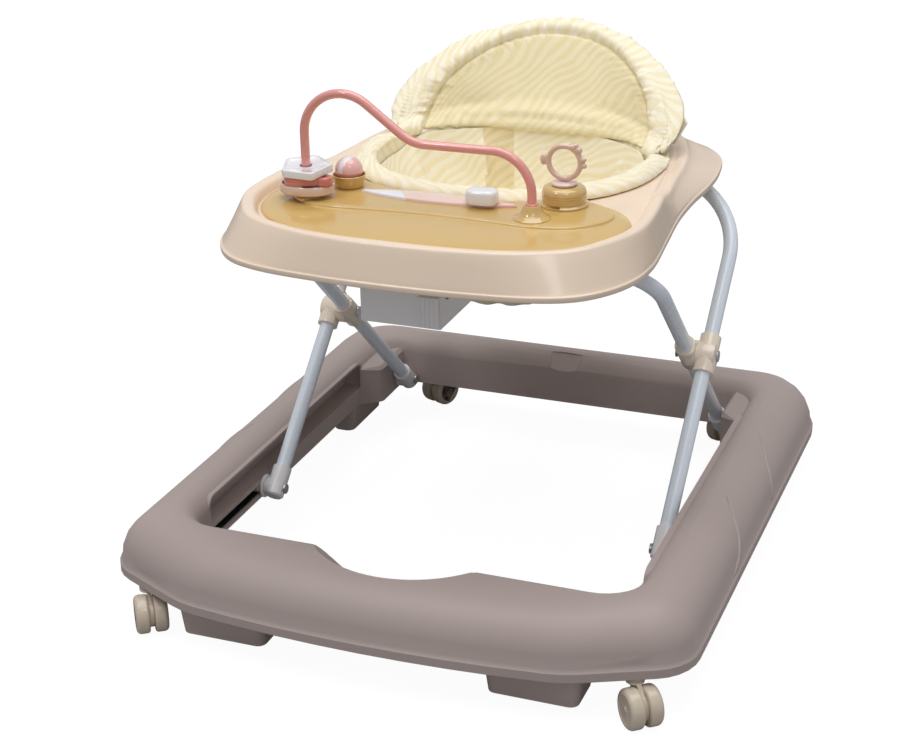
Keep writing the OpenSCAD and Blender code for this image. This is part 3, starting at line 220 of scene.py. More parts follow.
def moulded(name, seen_as, roughness, texture, depth, coat=0.0):
    """Injection-moulded plastic: slight flow mottling in its colour, and a fine tool texture."""
    finish = Finish(
        name, Coat_Weight=coat, Coat_Roughness=0.12 if coat < 0.4 else 0.05, Specular_IOR_Level=0.5
    )
    mottle = finish.grain(9.0, 3.0)
    fine = finish.grain(texture, 3.0, 0.6)
    # Convex edges, found by pointiness, get a painted highlight in a paler colour, and a slightly
    # lower roughness.
    edge_highlight = finish.ramp(0.44, 0.58, 0.0, 1.0, finish.node("NewGeometry", {}, {}, "Pointiness"))
    body = finish.blend(mottle, tinted(seen_as, 0.965), tinted(seen_as, 1.03))
    finish.feed(Base_Color=finish.blend(edge_highlight * 0.10, body, tinted(seen_as, 1.35)))
    finish.feed(
        Roughness=finish.ramp(0.3, 0.7, roughness - 0.05, roughness + 0.05, fine) - edge_highlight * 0.06
    )
    finish.relief(fine, depth)
    return finish.material


def dress(material, *node_names):
    """Gives CAD nodes a finish."""
    for node_name in node_names:
        for material_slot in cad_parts[node_name].material_slots:
            material_slot.material = material


def alone(piece):
    """Makes a piece the only one selected."""
    bpy.ops.object.select_all(action="DESELECT")
    piece.select_set(True)
    bpy.context.view_layer.objects.active = piece


def joined(piece, others):
    """Joins other pieces to a piece."""
    alone(piece)
    for other in others:
        other.select_set(True)
    bpy.ops.object.join()


def finished_with(piece, kind, **settings):
    """Adds a modifier to a piece and applies it."""
    alone(piece)
    bpy.ops.object.modifier_add(type=kind)
    modifier = piece.modifiers[-1]
    for key, value in settings.items():
        setattr(modifier, key, value)
    bpy.ops.object.modifier_apply(modifier=modifier.name)


def shaded(crease):
    """Shades the active piece smooth but for creases over an angle in degrees."""
    bpy.ops.object.shade_smooth_by_angle(angle=radians(crease))


def smoothed_copy(node_name, name, body, material, crease=35.0, rounding=0.0):
    """A copy of a CAD node with its triangles joined, its curves shaded smooth and, on request,
    its edges rounded."""
    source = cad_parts[node_name]
    piece = bpy.data.objects.new(name, source.data.copy())
    bpy.context.collection.objects.link(piece)
    alone(piece)
    piece.data.materials.clear()
    piece.data.materials.append(material)
    bpy.ops.object.mode_set(mode="EDIT")
    bpy.ops.mesh.select_all(action="SELECT")
    bpy.ops.mesh.remove_doubles(threshold=0.00001)
    bpy.ops.mesh.customdata_custom_splitnormals_clear()
    if rounding:
        bpy.ops.mesh.dissolve_limited(angle_limit=radians(2))
    bpy.ops.object.mode_set(mode="OBJECT")
    if rounding:
        finished_with(
            piece, "BEVEL", width=rounding, segments=3, limit_method="ANGLE",
            angle_limit=radians(40), harden_normals=False,
        )
    shaded(crease)
    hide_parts(node_name)
    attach(piece, body)
    return piece


TAUPE = (178, 163, 159)
SHOULDER_CENTRE = (0.258, 0.060)
SHOULDER_RADIUS = 0.045
RIDGE_RADIUS = 0.0024
RIDGE_SUNK = 0.0008  # how deep the middle of a crease's ridge lies in the shoulder
RIDGE_END = 0.3  # share of its radius that a ridge keeps at its ends
CREASES = [
    # degrees round the shoulder, y
    [(72, 0.140), (65, 0.129), (51, 0.1045), (30, 0.083), (12.7, 0.0735), (0, 0.0695), (-6, 0.068)],
    [
        (72, -0.015), (67, -0.022), (55, -0.0385), (35, -0.058), (20, -0.070), (6.7, -0.087),
        (0, -0.100), (-6, -0.118),
    ],
]


def crease_ridge(side, crease):
    """A thin round ridge along a crease of the shoulder, tapered at both ends."""
    bpy.ops.curve.primitive_nurbs_path_add()
    ridge = bpy.context.object
    ridge.data.splines.clear()
    path = ridge.data.splines.new("NURBS")
    path.points.add(len(crease) - 1)
    path.use_endpoint_u = True
    path.order_u = 3
    for knot, (angle, along) in zip(path.points, crease):
        reach = SHOULDER_RADIUS - RIDGE_SUNK
        across = SHOULDER_CENTRE[0] + reach * cos(radians(angle))
        high = SHOULDER_CENTRE[1] + reach * sin(radians(angle))
        knot.co = (side * across, along, high, 1.0)
        knot.radius = RIDGE_END if knot in (path.points[0], path.points[-1]) else 1.0
    ridge.data.bevel_depth = RIDGE_RADIUS
    ridge.data.bevel_resolution = 4
    ridge.data.use_fill_caps = True
    bpy.ops.object.convert(target="MESH")
    ridge.data.materials.append(base_plastic)
    bpy.ops.object.shade_smooth()
    return bpy.context.object


base_plastic = moulded("base_plastic", TAUPE, 0.52, 1500.0, 0.00004)
base_ring = smoothed_copy("base_shell", "base_ring", "base", base_plastic, 30.0)
joined(base_ring, [crease_ridge(side, crease) for side in (-1, 1) for crease in CREASES])
dress(base_plastic, "front_stopper_pads", "rear_stopper_pads")

# --- Slide rails ---
# Dark acetal strips pressed in behind the side slots of the base, and the black
# sleeve and rack of the height adjuster in the same plastic.
rail_plastic = moulded("rail_plastic", (34, 33, 35), 0.42, 2200.0, 0.00002)
dress(rail_plastic, "left_slide_rail", "right_slide_rail", "adjuster_sleeve", "adjuster_rack")

# --- Casters ---
# Cream gloss nylon forks and twin wheels with a rounded tread, pressed on steel
# pins. The edges are rounded a little, as moulded ones are.
CASTERS = ("front_left", "front_right", "rear_left", "rear_right")
CREAM = (212, 197, 178)
caster_plastic = moulded("caster_plastic", CREAM, 0.3, 1400.0, 0.00002, 0.25)
CASTER_ROUNDING = 0.0006
for caster in CASTERS:
    for node_end, name_end, body_end in (
        ("_fork", "_leg", "_caster"), ("_wheels", "_twin_wheel", "_wheel_pair"),
    ):
        smoothed_copy(
            caster + node_end, caster + name_end, caster + body_end,
            caster_plastic, 40.0, CASTER_ROUNDING,
        )

# --- Steel ---
# Pins, rivets, screws, bushes and the lever's spring: zinc-plated and brushed,
# with the plating clouded a little. The spring, which shortens as the lever is
# pressed, is a copy with a mesh of its own.
plated = Finish("plated_steel", Metallic=1.0)
cloud = plated.grain(60.0, 3.0)
plated.feed(Base_Color=plated.blend(cloud, colour(176, 178, 182), colour(205, 206, 208)))
plated.feed(Roughness=plated.ramp(0.3, 0.7, 0.24, 0.4, cloud))
plated.relief(plated.grain(4000.0, 1.0), 0.00001)
dress(
    plated.material,
    "caster_bushes", "leg_pivot_pins", "coupler_rivets", "shoe_pins", "clamp_screws",
)
dress(plated.material, *(caster + "_pins" for caster in CASTERS))
spring = smoothed_copy("lever_spring", "coil_spring", "tray", plated.material, 60.0)
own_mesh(spring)

# --- Leg frames ---
# Two bent steel tubes with a pale blue-grey powder coat, glossy and with the
# slight orange peel of sprayed powder.
powder = Finish("powder_coat", Coat_Weight=0.55, Coat_Roughness=0.08)
peel = powder.grain(260.0, 2.0)
powder.feed(
    Base_Color=powder.blend(powder.grain(14.0), colour(230, 240, 253), colour(236, 244, 254))
)
powder.feed(Roughness=powder.ramp(0.3, 0.7, 0.26, 0.36, peel))
powder.relief(peel, 0.00005)
dress(powder.material, "inner_leg_frame", "outer_leg_frame")

# --- White mouldings ---
# Foot caps, slide shoes, tube clamps and the adjuster's lever in semi-gloss ABS,
# and the adjuster's housing under the tray in a duller one.
MOULDING_ROUNDING = 0.0012
white_plastic = moulded("white_plastic", (236, 235, 238), 0.32, 1600.0, 0.00002, 0.2)
WHITE_MOULDINGS = {
    "inner_leg_caps": "inner_frame",
    "outer_leg_caps": "outer_frame",
    "left_slide_shoe": "left_shoe",
    "right_slide_shoe": "right_shoe",
}
for node_name, body in WHITE_MOULDINGS.items():
    smoothed_copy(
        node_name, node_name + "_moulding", body,
        white_plastic, 40.0, MOULDING_ROUNDING,
    )
dress(white_plastic, "tube_clamps", "adjuster_lever")
housing_plastic = moulded("housing_plastic", (238, 238, 241), 0.38, 1600.0, 0.00003)
dress(housing_plastic, "adjuster_housing")

# --- Crossing couplers ---
# Peach gloss sleeves that clasp the tubes and turn on a rivet where the legs
# cross, with well-rounded edges.
COUPLER_ROUNDING = 0.0014
coupler_plastic = moulded("coupler_plastic", (250, 234, 216), 0.22, 1200.0, 0.00001, 0.5)
for leg in ("inner", "outer"):
    smoothed_copy(
        leg + "_couplers", leg + "_sleeves", leg + "_frame",
        coupler_plastic, 40.0, COUPLER_ROUNDING,
    )

# --- Tray ---
# A peach ABS moulding with a deep skirt, a stepped lower lip, a broad raised
# border round the play area and a turned-in lip for the seat's clips.
MM = 0.001
DECK_Z = 0.406638
SKIRT_FOOT_Z = DECK_Z - 0.0286
BORDER_RISE = 0.012
TRAY_STEPS = 216
SKIRT_TOP_DROP = 0.007  # from the border's top down to where the skirt starts to turn
TRAY_WALL = 0.003
LIP_HEIGHT = 0.0075
# Half of each outline from front to back; outlines and profiles are in millimetres.
SKIRT_HALF = [
    (0, -254), (72, -251), (138, -242), (180, -222), (208, -180), (217, -126), (211, -52),
    (204, 20), (203, 80), (206, 136), (204, 190), (191, 246), (152, 290), (80, 312), (0, 318),
]
BORDER_HALF = [
    (0, -239), (62, -237), (116, -227), (164, -204), (192, -164), (206, -118), (203, -50),
    (193, 20), (186, 80), (182, 130), (172, 182), (150, 238), (118, 266), (66, 284), (0, 290),
]
HOLE_HALF = [
    (0, -57), (32, -56), (62, -50), (90, -37), (115, -17), (135, 8), (150, 40), (157, 75),
    (158, 105), (152, 140), (140, 172), (118, 205), (88, 230), (48, 246), (0, 250),
]
LIP_PROFILE = [
    # inset from the skirt's outline, height over its foot
    (3.2, 0.2), (0.6, 0), (0, 0.8), (0, 5.2), (0.5, 5.8), (1.9, 6.2),
]
BORDER_PROFILE = [
    # inset from the border's outline, drop from its top
    (-0.2, 3.2), (1, 1), (3.2, 0), (7.5, 0.1), (11.2, 0.8), (13.8, 2.6),
]
SEAT_LIP_PROFILE = [
    # distance outside the hole's outline, drop from the deck
    (6.8, 0), (5, 0.4), (2.2, 1.2), (0.8, 3), (0, 5.6), (0, 14.8), (0.6, 15), (3, 15), (3.4, 6.5),
    (6, 4.8),
]
PLAY_AREA_END = 0.040  # y where the border is level with the deck again
PLAY_AREA_FADE = 0.070


def spline(a, b, c, d, t):
    """A point between b and c on a smooth curve through a, b, c and d."""
    return 0.5 * (
        2 * b + (c - a) * t + (2 * a - 5 * b + 4 * c - d) * t * t + (3 * b - a - 3 * c + d) * t**3
    )


def reaches(line):
    """How far each point of a line is along it."""
    far = [0.0]
    for here, there in zip(line, line[1:]):
        far.append(far[-1] + (Vector(there) - Vector(here)).length)
    return far


def evenly(knots, count, looped):
    """Takes count even steps along a curve through knots; the first and last only steer it."""
    fine = [
        spline(*knots[i : i + 4], step / 24) for i in range(len(knots) - 3) for step in range(24)
    ]
    ends = fine + (fine[:1] if looped else knots[-1:])
    reach = reaches(ends)
    even = []
    i = 0
    for step in range(count):
        want = reach[-1] * step / (count if looped else count - 1)
        while i < len(reach) - 2 and reach[i + 1] < want:
            i += 1
        even.append(ends[i].lerp(ends[i + 1], (want - reach[i]) / (reach[i + 1] - reach[i])))
    return even


def outline(half, count):
    """Even steps round a smooth symmetric outline from half its points, starting at the back."""
    whole = [Vector((x, y)) * MM for x, y in half]
    whole += [Vector((-p.x, p.y)) for p in whole[-2:0:-1]]
    knots = [whole[(len(half) - 2 + i) % len(whole)] for i in range(len(whole) + 3)]
    return evenly(knots, count, True)


def moved_out(line, distance):
    """The outline moved outward, square to itself."""
    out = []
    for i, point in enumerate(line):
        along = line[(i + 1) % len(line)] - line[i - 1]
        out.append(point + Vector((along.y, -along.x)).normalized() * distance)
    return out


def lofted(name, rings, looped, closed=(True, True)):
    """A skin through rings of equal length, made from a grid wrapped round them. looped joins the
    last ring to the first; otherwise closed says whether the first and the last ring are drawn in
    to their middles. Its UV map runs in metres: u round the rings, v across them."""
    columns = len(rings[0])
    if not looped:
        first, last = (
            [sum((Vector(p) for p in ring), Vector()) / columns] * columns
            for ring in (rings[0], rings[-1])
        )
        rings = [first] * closed[0] + rings + [last] * closed[1]
    rows = len(rings) + looped
    bpy.ops.mesh.primitive_grid_add(x_subdivisions=columns, y_subdivisions=rows - 1, size=2.0)
    skin = bpy.context.object
    skin.name = skin.data.name = name
    place = []
    for vertex in skin.data.vertices:
        column = round((vertex.co.x + 1) / 2 * columns)
        row = round((vertex.co.y + 1) / 2 * (rows - 1))
        place.append((row, column))
        vertex.co = rings[row % len(rings)][column % columns]
    widest = max(rings, key=lambda ring: (Vector(ring[0]) - Vector(ring[columns // 2])).length)
    around = reaches(widest + widest[:1])
    across = reaches([ring[0] for ring in rings + rings[:1] * looped])
    cloth_map = skin.data.uv_layers[0].data
    for loop in skin.data.loops:
        row, column = place[loop.vertex_index]
        cloth_map[loop.index].uv = (around[column], across[row])
    bpy.ops.object.mode_set(mode="EDIT")
    bpy.ops.mesh.select_all(action="SELECT")
    bpy.ops.mesh.remove_doubles(threshold=0.000001)
    bpy.ops.mesh.normals_make_consistent(inside=False)
    bpy.ops.object.mode_set(mode="OBJECT")
    bpy.ops.object.shade_smooth()
    return skin


def between(first, second, share):
    """The outline at a share of the way from the first to the second."""
    return [a.lerp(b, share) for a, b in zip(first, second)]


def at_height(line, height):
    """A ring over an outline at one height, or at height(y)."""
    return [(p.x, p.y, height(p.y) if callable(height) else height) for p in line]


def held(share):
    """A share held between 0 and 1."""
    return min(1.0, max(0.0, share))


def eased(share):
    """The same, with a soft start and end."""
    share = held(share)
    return share * share * (3 - 2 * share)


def border_top(y):
    """Height of the border: raised round the play area, level with the deck behind it."""
    return DECK_Z + BORDER_RISE * eased((PLAY_AREA_END - y) / PLAY_AREA_FADE)


def skirt_at(step):
    """The skirt's outline at a step on its way up to the border."""
    return between(skirt_line, border_line, 0.13 + 0.73 * step)


def skirt_height(step, drop):
    low = SKIRT_FOOT_Z + LIP_HEIGHT
    return lambda y: low + (border_top(y) - SKIRT_TOP_DROP - low) * step - drop


def subdivided(piece):
    finished_with(piece, "SUBSURF", levels=1, render_levels=1)


def fitted(piece, material, slot_name, body, *cad_nodes):
    """Gives a new piece its finish and its body, and hides the CAD nodes that it stands for;
    slot_name is not used.
    """
    piece.data.materials.clear()
    piece.data.materials.append(material)
    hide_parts(*cad_nodes)
    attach(piece, body)


PEACH = (236, 214, 193)
tray_plastic = moulded("tray_plastic", PEACH, 0.34, 1300.0, 0.00003, 0.2)
skirt_line = outline(SKIRT_HALF, TRAY_STEPS)
border_line = outline(BORDER_HALF, TRAY_STEPS)
hole_line = outline(HOLE_HALF, TRAY_STEPS)
tray_rings = [
    at_height(moved_out(skirt_line, -inset * MM), SKIRT_FOOT_Z + rise * MM)
    for inset, rise in LIP_PROFILE
]
tray_rings += [at_height(skirt_at(step / 5), skirt_height(step / 5, 0.0)) for step in range(6)]
for inset, drop in BORDER_PROFILE:
    line = moved_out(border_line, -inset * MM)
    tray_rings.append(at_height(line, lambda y, drop=drop: border_top(y) - drop * MM))
# The fall from the border to the deck.
line = moved_out(border_line, -0.0153)
tray_rings.append(at_height(line, lambda y: 0.4 * border_top(y) + 0.6 * DECK_Z - 0.0012))
tray_rings.append(at_height(moved_out(border_line, -0.0162), DECK_Z - 0.0002))
tray_rings.append(at_height(moved_out(border_line, -0.0178), DECK_Z))
tray_rings += [
    at_height(moved_out(hole_line, grow * MM), DECK_Z - drop * MM)
    for grow, drop in SEAT_LIP_PROFILE
]
# The underside, back to the skirt's foot.
tray_rings.append(at_height(moved_out(border_line, -0.008), DECK_Z - 0.0045))
for step in (1.0, 0.5, 0.0):
    tray_rings.append(at_height(moved_out(skirt_at(step), -TRAY_WALL), skirt_height(step, 0.002)))
tray = lofted("tray", tray_rings, True)
subdivided(tray)
fitted(tray, tray_plastic, "tray_peach", "tray", "tray_shell")

# --- Play panel ---
# Mustard gloss plastic with a soft front slope and a raised terrace at the back
# that carries the toys, clipped on the deck.
MUSTARD = (209, 175, 107)
panel_plastic = moulded("panel_plastic", MUSTARD, 0.24, 1100.0, 0.000006, 0.6)
PLAY_Z = DECK_Z + 0.010
PANEL_STEPS = 108
PANEL_HALF = [
    (0, -211), (62, -208), (115, -198), (155, -177), (180, -146), (188, -112), (183, -80),
    (162, -54), (128, -44), (98, -50), (70, -68), (35, -77), (0, -79),
]
TERRACE_HALF = [
    (0, -136), (56, -139), (104, -143), (138, -135), (160, -115), (168, -95), (163, -75),
    (145, -59), (122, -52), (99, -58), (72, -76), (36, -85), (0, -87),
]
PANEL_EDGE = [
    # inset from the panel's outline, height over the deck
    (0, -1.8), (0, 0.6), (0.5, 1.8), (1.8, 3),
]
SLOPE_FOOT = 0.0030
SLOPE_RISE = 0.0040
TERRACE_EDGE = [
    # distance outside the terrace's outline, height over the deck
    (1.4, 7.1), (0.7, 7.3), (0.3, 9), (-0.6, 9.7), (-2.4, 10),
]
panel_line = outline(PANEL_HALF, PANEL_STEPS)
terrace_line = outline(TERRACE_HALF, PANEL_STEPS)
panel_rings = [
    at_height(moved_out(panel_line, -inset * MM), DECK_Z + rise * MM) for inset, rise in PANEL_EDGE
]
for share in (0.14, 0.26, 0.40, 0.56, 0.72, 0.86, 0.94):
    slope = SLOPE_FOOT + SLOPE_RISE * (1 - (1 - share) ** 2.2)
    panel_rings.append(at_height(between(panel_line, terrace_line, share), DECK_Z + slope))
panel_rings += [
    at_height(moved_out(terrace_line, grow * MM), DECK_Z + rise * MM) for grow, rise in TERRACE_EDGE
]
play_panel = lofted("play_panel", panel_rings, False)
subdivided(play_panel)
shaded(50)
fitted(play_panel, panel_plastic, "panel_mustard", "tray", "activity_panel")

# --- Bead tube ---
# A bent tube in pink gloss plastic, moulded in one. Its left end stands in a
# flat square foot and its right end in a trumpet with a pink flange.
TURN_STEPS = 64
BEAD_AXIS = (-0.140, -0.120)
TRUMPET_AXIS = (0.096, -0.120)
TOY_FOOT_Z = PLAY_Z - 0.0002  # toys sink a little into the panel
# Profiles are steps of radius and height from the foot up, in millimetres.
FOOT = [(20.5, 0), (20.5, 1.8), (19, 2.4), (18, 4), (17.5, 4.3)]
TRUMPET = [
    (18, 0), (18.2, 0.8), (17.4, 1.6), (15.4, 2.4), (13.2, 4), (11.2, 6.4), (9.6, 9.4), (8.6, 12.4),
    (8, 13.4), (7, 13.7),
]
FLANGE = [(5.2, 0), (6.6, 0.4), (6.9, 1.2), (6.4, 2), (5, 2.3)]


def ring_of(centre, height, reach):
    """One ring of a piece: reach(angle) out from a centre, at a height."""
    ring = []
    for step in range(TURN_STEPS):
        angle = 2 * pi * step / TURN_STEPS
        out = reach(angle)
        ring.append((centre[0] + out * cos(angle), centre[1] + out * sin(angle), height))
    return ring


def turned(name, centre, foot, profile, shape=None, bored=0.0):
    """A piece turned about an upright axis from steps of radius and height in millimetres, over its
    foot in metres. shape(angle) makes its plan other than round, and a bored piece has its hole
    lined from the last step down to the first."""
    plan = shape or (lambda angle: 1.0)
    rings = []
    for wide, high in profile:
        rings.append(
            ring_of(centre, foot + high * MM, lambda angle, wide=wide: wide * MM * plan(angle))
        )
    if bored:
        for high in (profile[-1][1], profile[0][1]):
            rings.append(ring_of(centre, foot + high * MM, lambda angle: bored * MM))
    piece = lofted(name, rings, bool(bored))
    shaded(40)
    return piece


def blocky(corners, long_way, turn=0.0):
    """Plan of a soft-cornered polygon: the distance to its flat sides, cut off at the corners."""

    def reach(angle):
        sector = 2 * pi / corners
        off = (angle - turn + sector / 2) % sector - sector / 2
        side = cos(sector / 2) / cos(abs(off) - sector / 2)
        return min(side, long_way)

    return reach


tube_pink = moulded("tube_pink", (230, 152, 144), 0.16, 900.0, 0.000005, 1.0)
gloss_mustard = moulded("gloss_mustard", MUSTARD, 0.14, 1100.0, 0.000005, 1.0)
smoothed_copy("bead_tube", "bent_tube", "tray", tube_pink, 40.0)
tube_foot = turned("tube_foot", BEAD_AXIS, TOY_FOOT_Z, FOOT, blocky(4, 0.97, radians(8)))
fitted(tube_foot, gloss_mustard, "panel_mustard", "tray", "bead_foot")
trumpet = turned("tube_trumpet", TRUMPET_AXIS, TOY_FOOT_Z, TRUMPET)
fitted(trumpet, gloss_mustard, "panel_mustard", "tray", "tube_collar")
flange = turned("collar_flange", TRUMPET_AXIS, PLAY_Z + 0.0130, FLANGE)
fitted(flange, tube_pink, "toy_pink", "tray")

# --- Loose beads ---
# Three gloss plastic beads on the left end of the tube: an oval hoop in blush, a
# salmon plate with a holed lug, and a thick white pentagon with a raised rim.
HOOP_Z, PLATE_Z, PENTAGON_Z = 0.4212, 0.4306, 0.4405
HOOP = [
    (26.2, 0.2), (27.8, 0), (29, 1), (29.2, 4.5), (28.9, 8.2), (28, 9), (26.6, 9.1), (25.6, 8.4),
    (25.2, 3.6), (8, 3.4),
]
PLATE = [(19.5, 0), (20.8, 0.6), (21.2, 2), (21.2, 6), (20.6, 7.6), (19, 8.2), (8, 8.2)]
LUG = [(8.2, 0), (9.2, 0.8), (9.4, 3), (9.4, 6.2), (8.8, 7.8), (7.6, 8.4), (4, 8.4)]
PENTAGON = [
    (26.2, 0), (27.4, 0.6), (27.8, 1.8), (27.8, 6.6), (27.4, 7.8), (26.4, 8.3), (25.2, 8.2),
    (24.4, 7.4), (23.6, 6.9), (8, 6.9),
]
BEAD_BORE, PENTAGON_BORE, LUG_BORE = 6.0, 6.2, 3.4


def oval(angle):
    """Plan of the hoop, 0.76 as deep as it is wide."""
    return 1.0 / math.sqrt(cos(angle) ** 2 + (sin(angle) / 0.76) ** 2)


def three_lobed(angle):
    """Plan of the plate."""
    return 1.0 + 0.10 * cos(3 * angle + 0.5)


def tipped(piece, middle, forward, sideways):
    """Tips a loose bead on its tube by two small angles in degrees."""
    turn_it = Matrix.Rotation(radians(forward), 4, "X") @ Matrix.Rotation(radians(sideways), 4, "Y")
    piece.data.transform(Matrix.Translation(middle) @ turn_it @ Matrix.Translation(-Vector(middle)))


blush = moulded("blush", (222, 190, 172), 0.18, 900.0, 0.000005, 0.9)
hoop = turned("oval_hoop", BEAD_AXIS, HOOP_Z, HOOP, oval, BEAD_BORE)
fitted(hoop, blush, "toy_tan", "oval", "oval_bead")
salmon = moulded("salmon", (205, 118, 104), 0.18, 900.0, 0.000005, 0.9)
plate = turned("salmon_plate", BEAD_AXIS, PLATE_Z, PLATE, three_lobed, BEAD_BORE)
lug_axis = (BEAD_AXIS[0] + 0.0205, BEAD_AXIS[1] - 0.004)
joined(plate, [turned("slab_lug", lug_axis, PLATE_Z, LUG, None, LUG_BORE)])
fitted(plate, salmon, "toy_salmon", "slab", "slab_bead")
white_gloss = moulded("white_gloss", (238, 238, 243), 0.16, 900.0, 0.000005, 1.0)
five_sided = blocky(5, 0.955, radians(90))
pentagon = turned("pentagon_plate", BEAD_AXIS, PENTAGON_Z, PENTAGON, five_sided, PENTAGON_BORE)
tipped(pentagon, (*BEAD_AXIS, PENTAGON_Z + 0.004), 4.5, 1.0)
fitted(pentagon, white_gloss, "toy_white", "pentagon", "pentagon_bead")

# --- Ball in its cup ---
# A pale pink plastic ball that turns in a mustard cup, printed with a white band
# from pole to pole and a salmon ring low down.
BALL_AXIS = (-0.112, -0.080)
CUP = [
    (12.8, 0), (14.2, 1), (15, 3), (16.2, 8), (17.2, 12.2), (17.3, 13), (16.7, 13.4), (15.8, 12.8),
    (14.8, 8), (12, 3), (6, 2.4),
]
BALL_RADIUS = 14.2
BALL_Z = PLAY_Z + 0.0165
BAND_OFFSET = 0.0012
BAND_HALF = 0.0028
LOW_RING_Z = PLAY_Z + 0.0158
cup = turned("round_cup", BALL_AXIS, TOY_FOOT_Z, CUP)
fitted(cup, gloss_mustard, "panel_mustard", "tray", "ball_cup")
ball_print = Finish("ball_colours", Coat_Weight=0.6, Coat_Roughness=0.06, Roughness=0.2)
to_right = ball_print.along("X") - BALL_AXIS[0]
to_back = ball_print.along("Y") - BALL_AXIS[1]
off_band = (to_right * 0.93 - to_back * 0.36 - BAND_OFFSET).math("ABSOLUTE")
white_band = ball_print.ramp(BAND_HALF, BAND_HALF + 0.0003, 1.0, 0.0, off_band)
low_ring = ball_print.ramp(LOW_RING_Z, LOW_RING_Z + 0.0004, 1.0, 0.0, ball_print.along("Z"))
ball_tint = ball_print.blend(white_band, colour(236, 186, 182), colour(240, 238, 242))
ball_print.feed(Base_Color=ball_print.blend(low_ring, ball_tint, colour(216, 138, 128)))
ball_print.relief(ball_print.grain(500.0, 2.0), 0.00001)
latitudes = [radians(degrees) for degrees in range(-60, 90, 6)]
ball_steps = [(BALL_RADIUS * cos(up), BALL_RADIUS * sin(up)) for up in latitudes]
ball = turned("banded_ball", BALL_AXIS, BALL_Z, ball_steps)
bpy.ops.object.shade_smooth()
fitted(ball, ball_print.material, "toy_white", "ball", "spinning_ball")

# --- Leaf track and knob ---
# A slim plastic leaf, white at its left third and then pale pink, with a glossy
# white block that slides along it.
LEAF_MIDDLE = (-0.010, -0.095)
LEAF_LONG = 0.082  # half lengths of the leaf, along and across
LEAF_WIDE = 0.014
LEAF_STEPS = 96
LEAF_RINGS = [
    # share of the width, share of the length, height
    (1.0, 1.0, 0.0), (1.0, 1.0, 0.0022), (0.97, 0.99, 0.0029), (0.86, 0.96, 0.0034),
    (0.6, 0.85, 0.0038), (0.25, 0.6, 0.0040),
]
LEAF_SPLIT = -0.0485  # where the white ends, on a slanted line
LEAF_TIP = 0.030
KNOB_MIDDLE = (0.0385, -0.1010)
KNOB_Z = 0.4204
KNOB = [
    (13.8, 0), (15.2, 0.2), (15.9, 1.2), (16.1, 4), (16, 8.5), (15.6, 11), (14.6, 12.7),
    (12.8, 13.6), (10, 14.1), (5, 14.4),
]


def squarish(angle):
    """Plan of the knob: a rectangle with well-rounded corners, 32 by 22."""
    return (abs(cos(angle)) ** 3.2 + abs(sin(angle) / 0.70) ** 3.2) ** (-1 / 3.2)


def leaf_ring(wide, long_way, high):
    ring = []
    for step in range(LEAF_STEPS):
        angle = 2 * pi * step / LEAF_STEPS
        reach = cos(angle)
        half = math.copysign(LEAF_WIDE * wide * (1 - reach * reach) ** 0.9, sin(angle))
        along = LEAF_MIDDLE[0] + LEAF_LONG * reach * long_way
        ring.append((along, LEAF_MIDDLE[1] + half, TOY_FOOT_Z + high))
    return ring


leaf_paint = Finish("leaf_colours", Coat_Weight=0.4, Coat_Roughness=0.1, Roughness=0.25)
along_leaf = leaf_paint.along("X")
slanted_leaf = along_leaf + (leaf_paint.along("Y") - LEAF_MIDDLE[1]) * 0.7
leaf_split = leaf_paint.ramp(LEAF_SPLIT, LEAF_SPLIT + 0.0005, 0.0, 1.0, slanted_leaf)
leaf_tip = leaf_paint.ramp(LEAF_TIP, LEAF_TIP + 0.0005, 0.0, 1.0, along_leaf)
leaf_pink = leaf_paint.blend(leaf_tip, colour(236, 208, 196), colour(238, 192, 186))
leaf_paint.feed(Base_Color=leaf_paint.blend(leaf_split, colour(236, 234, 240), leaf_pink))
leaf_paint.relief(leaf_paint.grain(700.0, 2.0), 0.00001)
leaf = lofted("leaf", [leaf_ring(*row) for row in LEAF_RINGS], False)
shaded(40)
fitted(leaf, leaf_paint.material, "toy_white", "tray", "leaf_track", "leaf_inlay")
knob = turned("knob_block", KNOB_MIDDLE, KNOB_Z, KNOB, squarish)
bpy.ops.object.shade_smooth()
fitted(knob, white_gloss, "toy_white", "knob", "slider_knob")

# --- Dome and ring rattle ---
# A ribbed mustard dome with a slot at its foot, a pale disc that turns on it, and
# on the disc a moulded ring rattle with nubs, in blush gloss plastic.
DOME_AXIS = (0.112, -0.070)
DOME_FOOT = [(23.6, 0), (24.1, 0.6), (24.1, 1.8), (23.4, 2.6), (22.2, 3), (21.9, 3.4)]
DOME_TOP = [(21.7, 14.6), (20.8, 16.8), (19.3, 18.5), (17, 19.6), (14.5, 20), (6, 20)]
DOME_RADIUS = 21.9
RIB_FIRST, RIB_PITCH, RIB_DEPTH = 4.0, 2.6, 0.4
NOTCH_SIZE = (0.016, 0.006, 0.0022)
NOTCH_PLACE = (DOME_AXIS[0] - 0.005, DOME_AXIS[1] - 0.022, PLAY_Z + 0.0028)
DISC_Z = 0.4368
DISC = [(11.8, 0), (12.7, 0.6), (12.9, 1.4), (12.6, 2.4), (11.4, 3.1), (5, 3.3)]
RATTLE_MIDDLE = (*DOME_AXIS, 0.4590)
RATTLE_RADIUS = 0.0161
RATTLE_TUBE = 0.0028
NUBS = [
    # x and z from the ring's middle, then half the width, depth and height
    (-21.2, 1.2, 3.4, 3, 5.8), (9.2, 15.8, 3.8, 3.4, 3.2), (14, 12.8, 4, 3.6, 3.6),
    (11.6, 17, 2.6, 3, 3), (19.4, 4, 3, 3, 2.6), (20, -2.2, 2.6, 3, 2.6),
]


def cut(piece, tool, place):
    """Cuts a tool's form, moved to its place, out of a piece."""
    tool.matrix_world = place
    bpy.context.view_layer.update()
    finished_with(piece, "BOOLEAN", operation="DIFFERENCE", object=tool, solver="EXACT")
    bpy.data.objects.remove(tool)


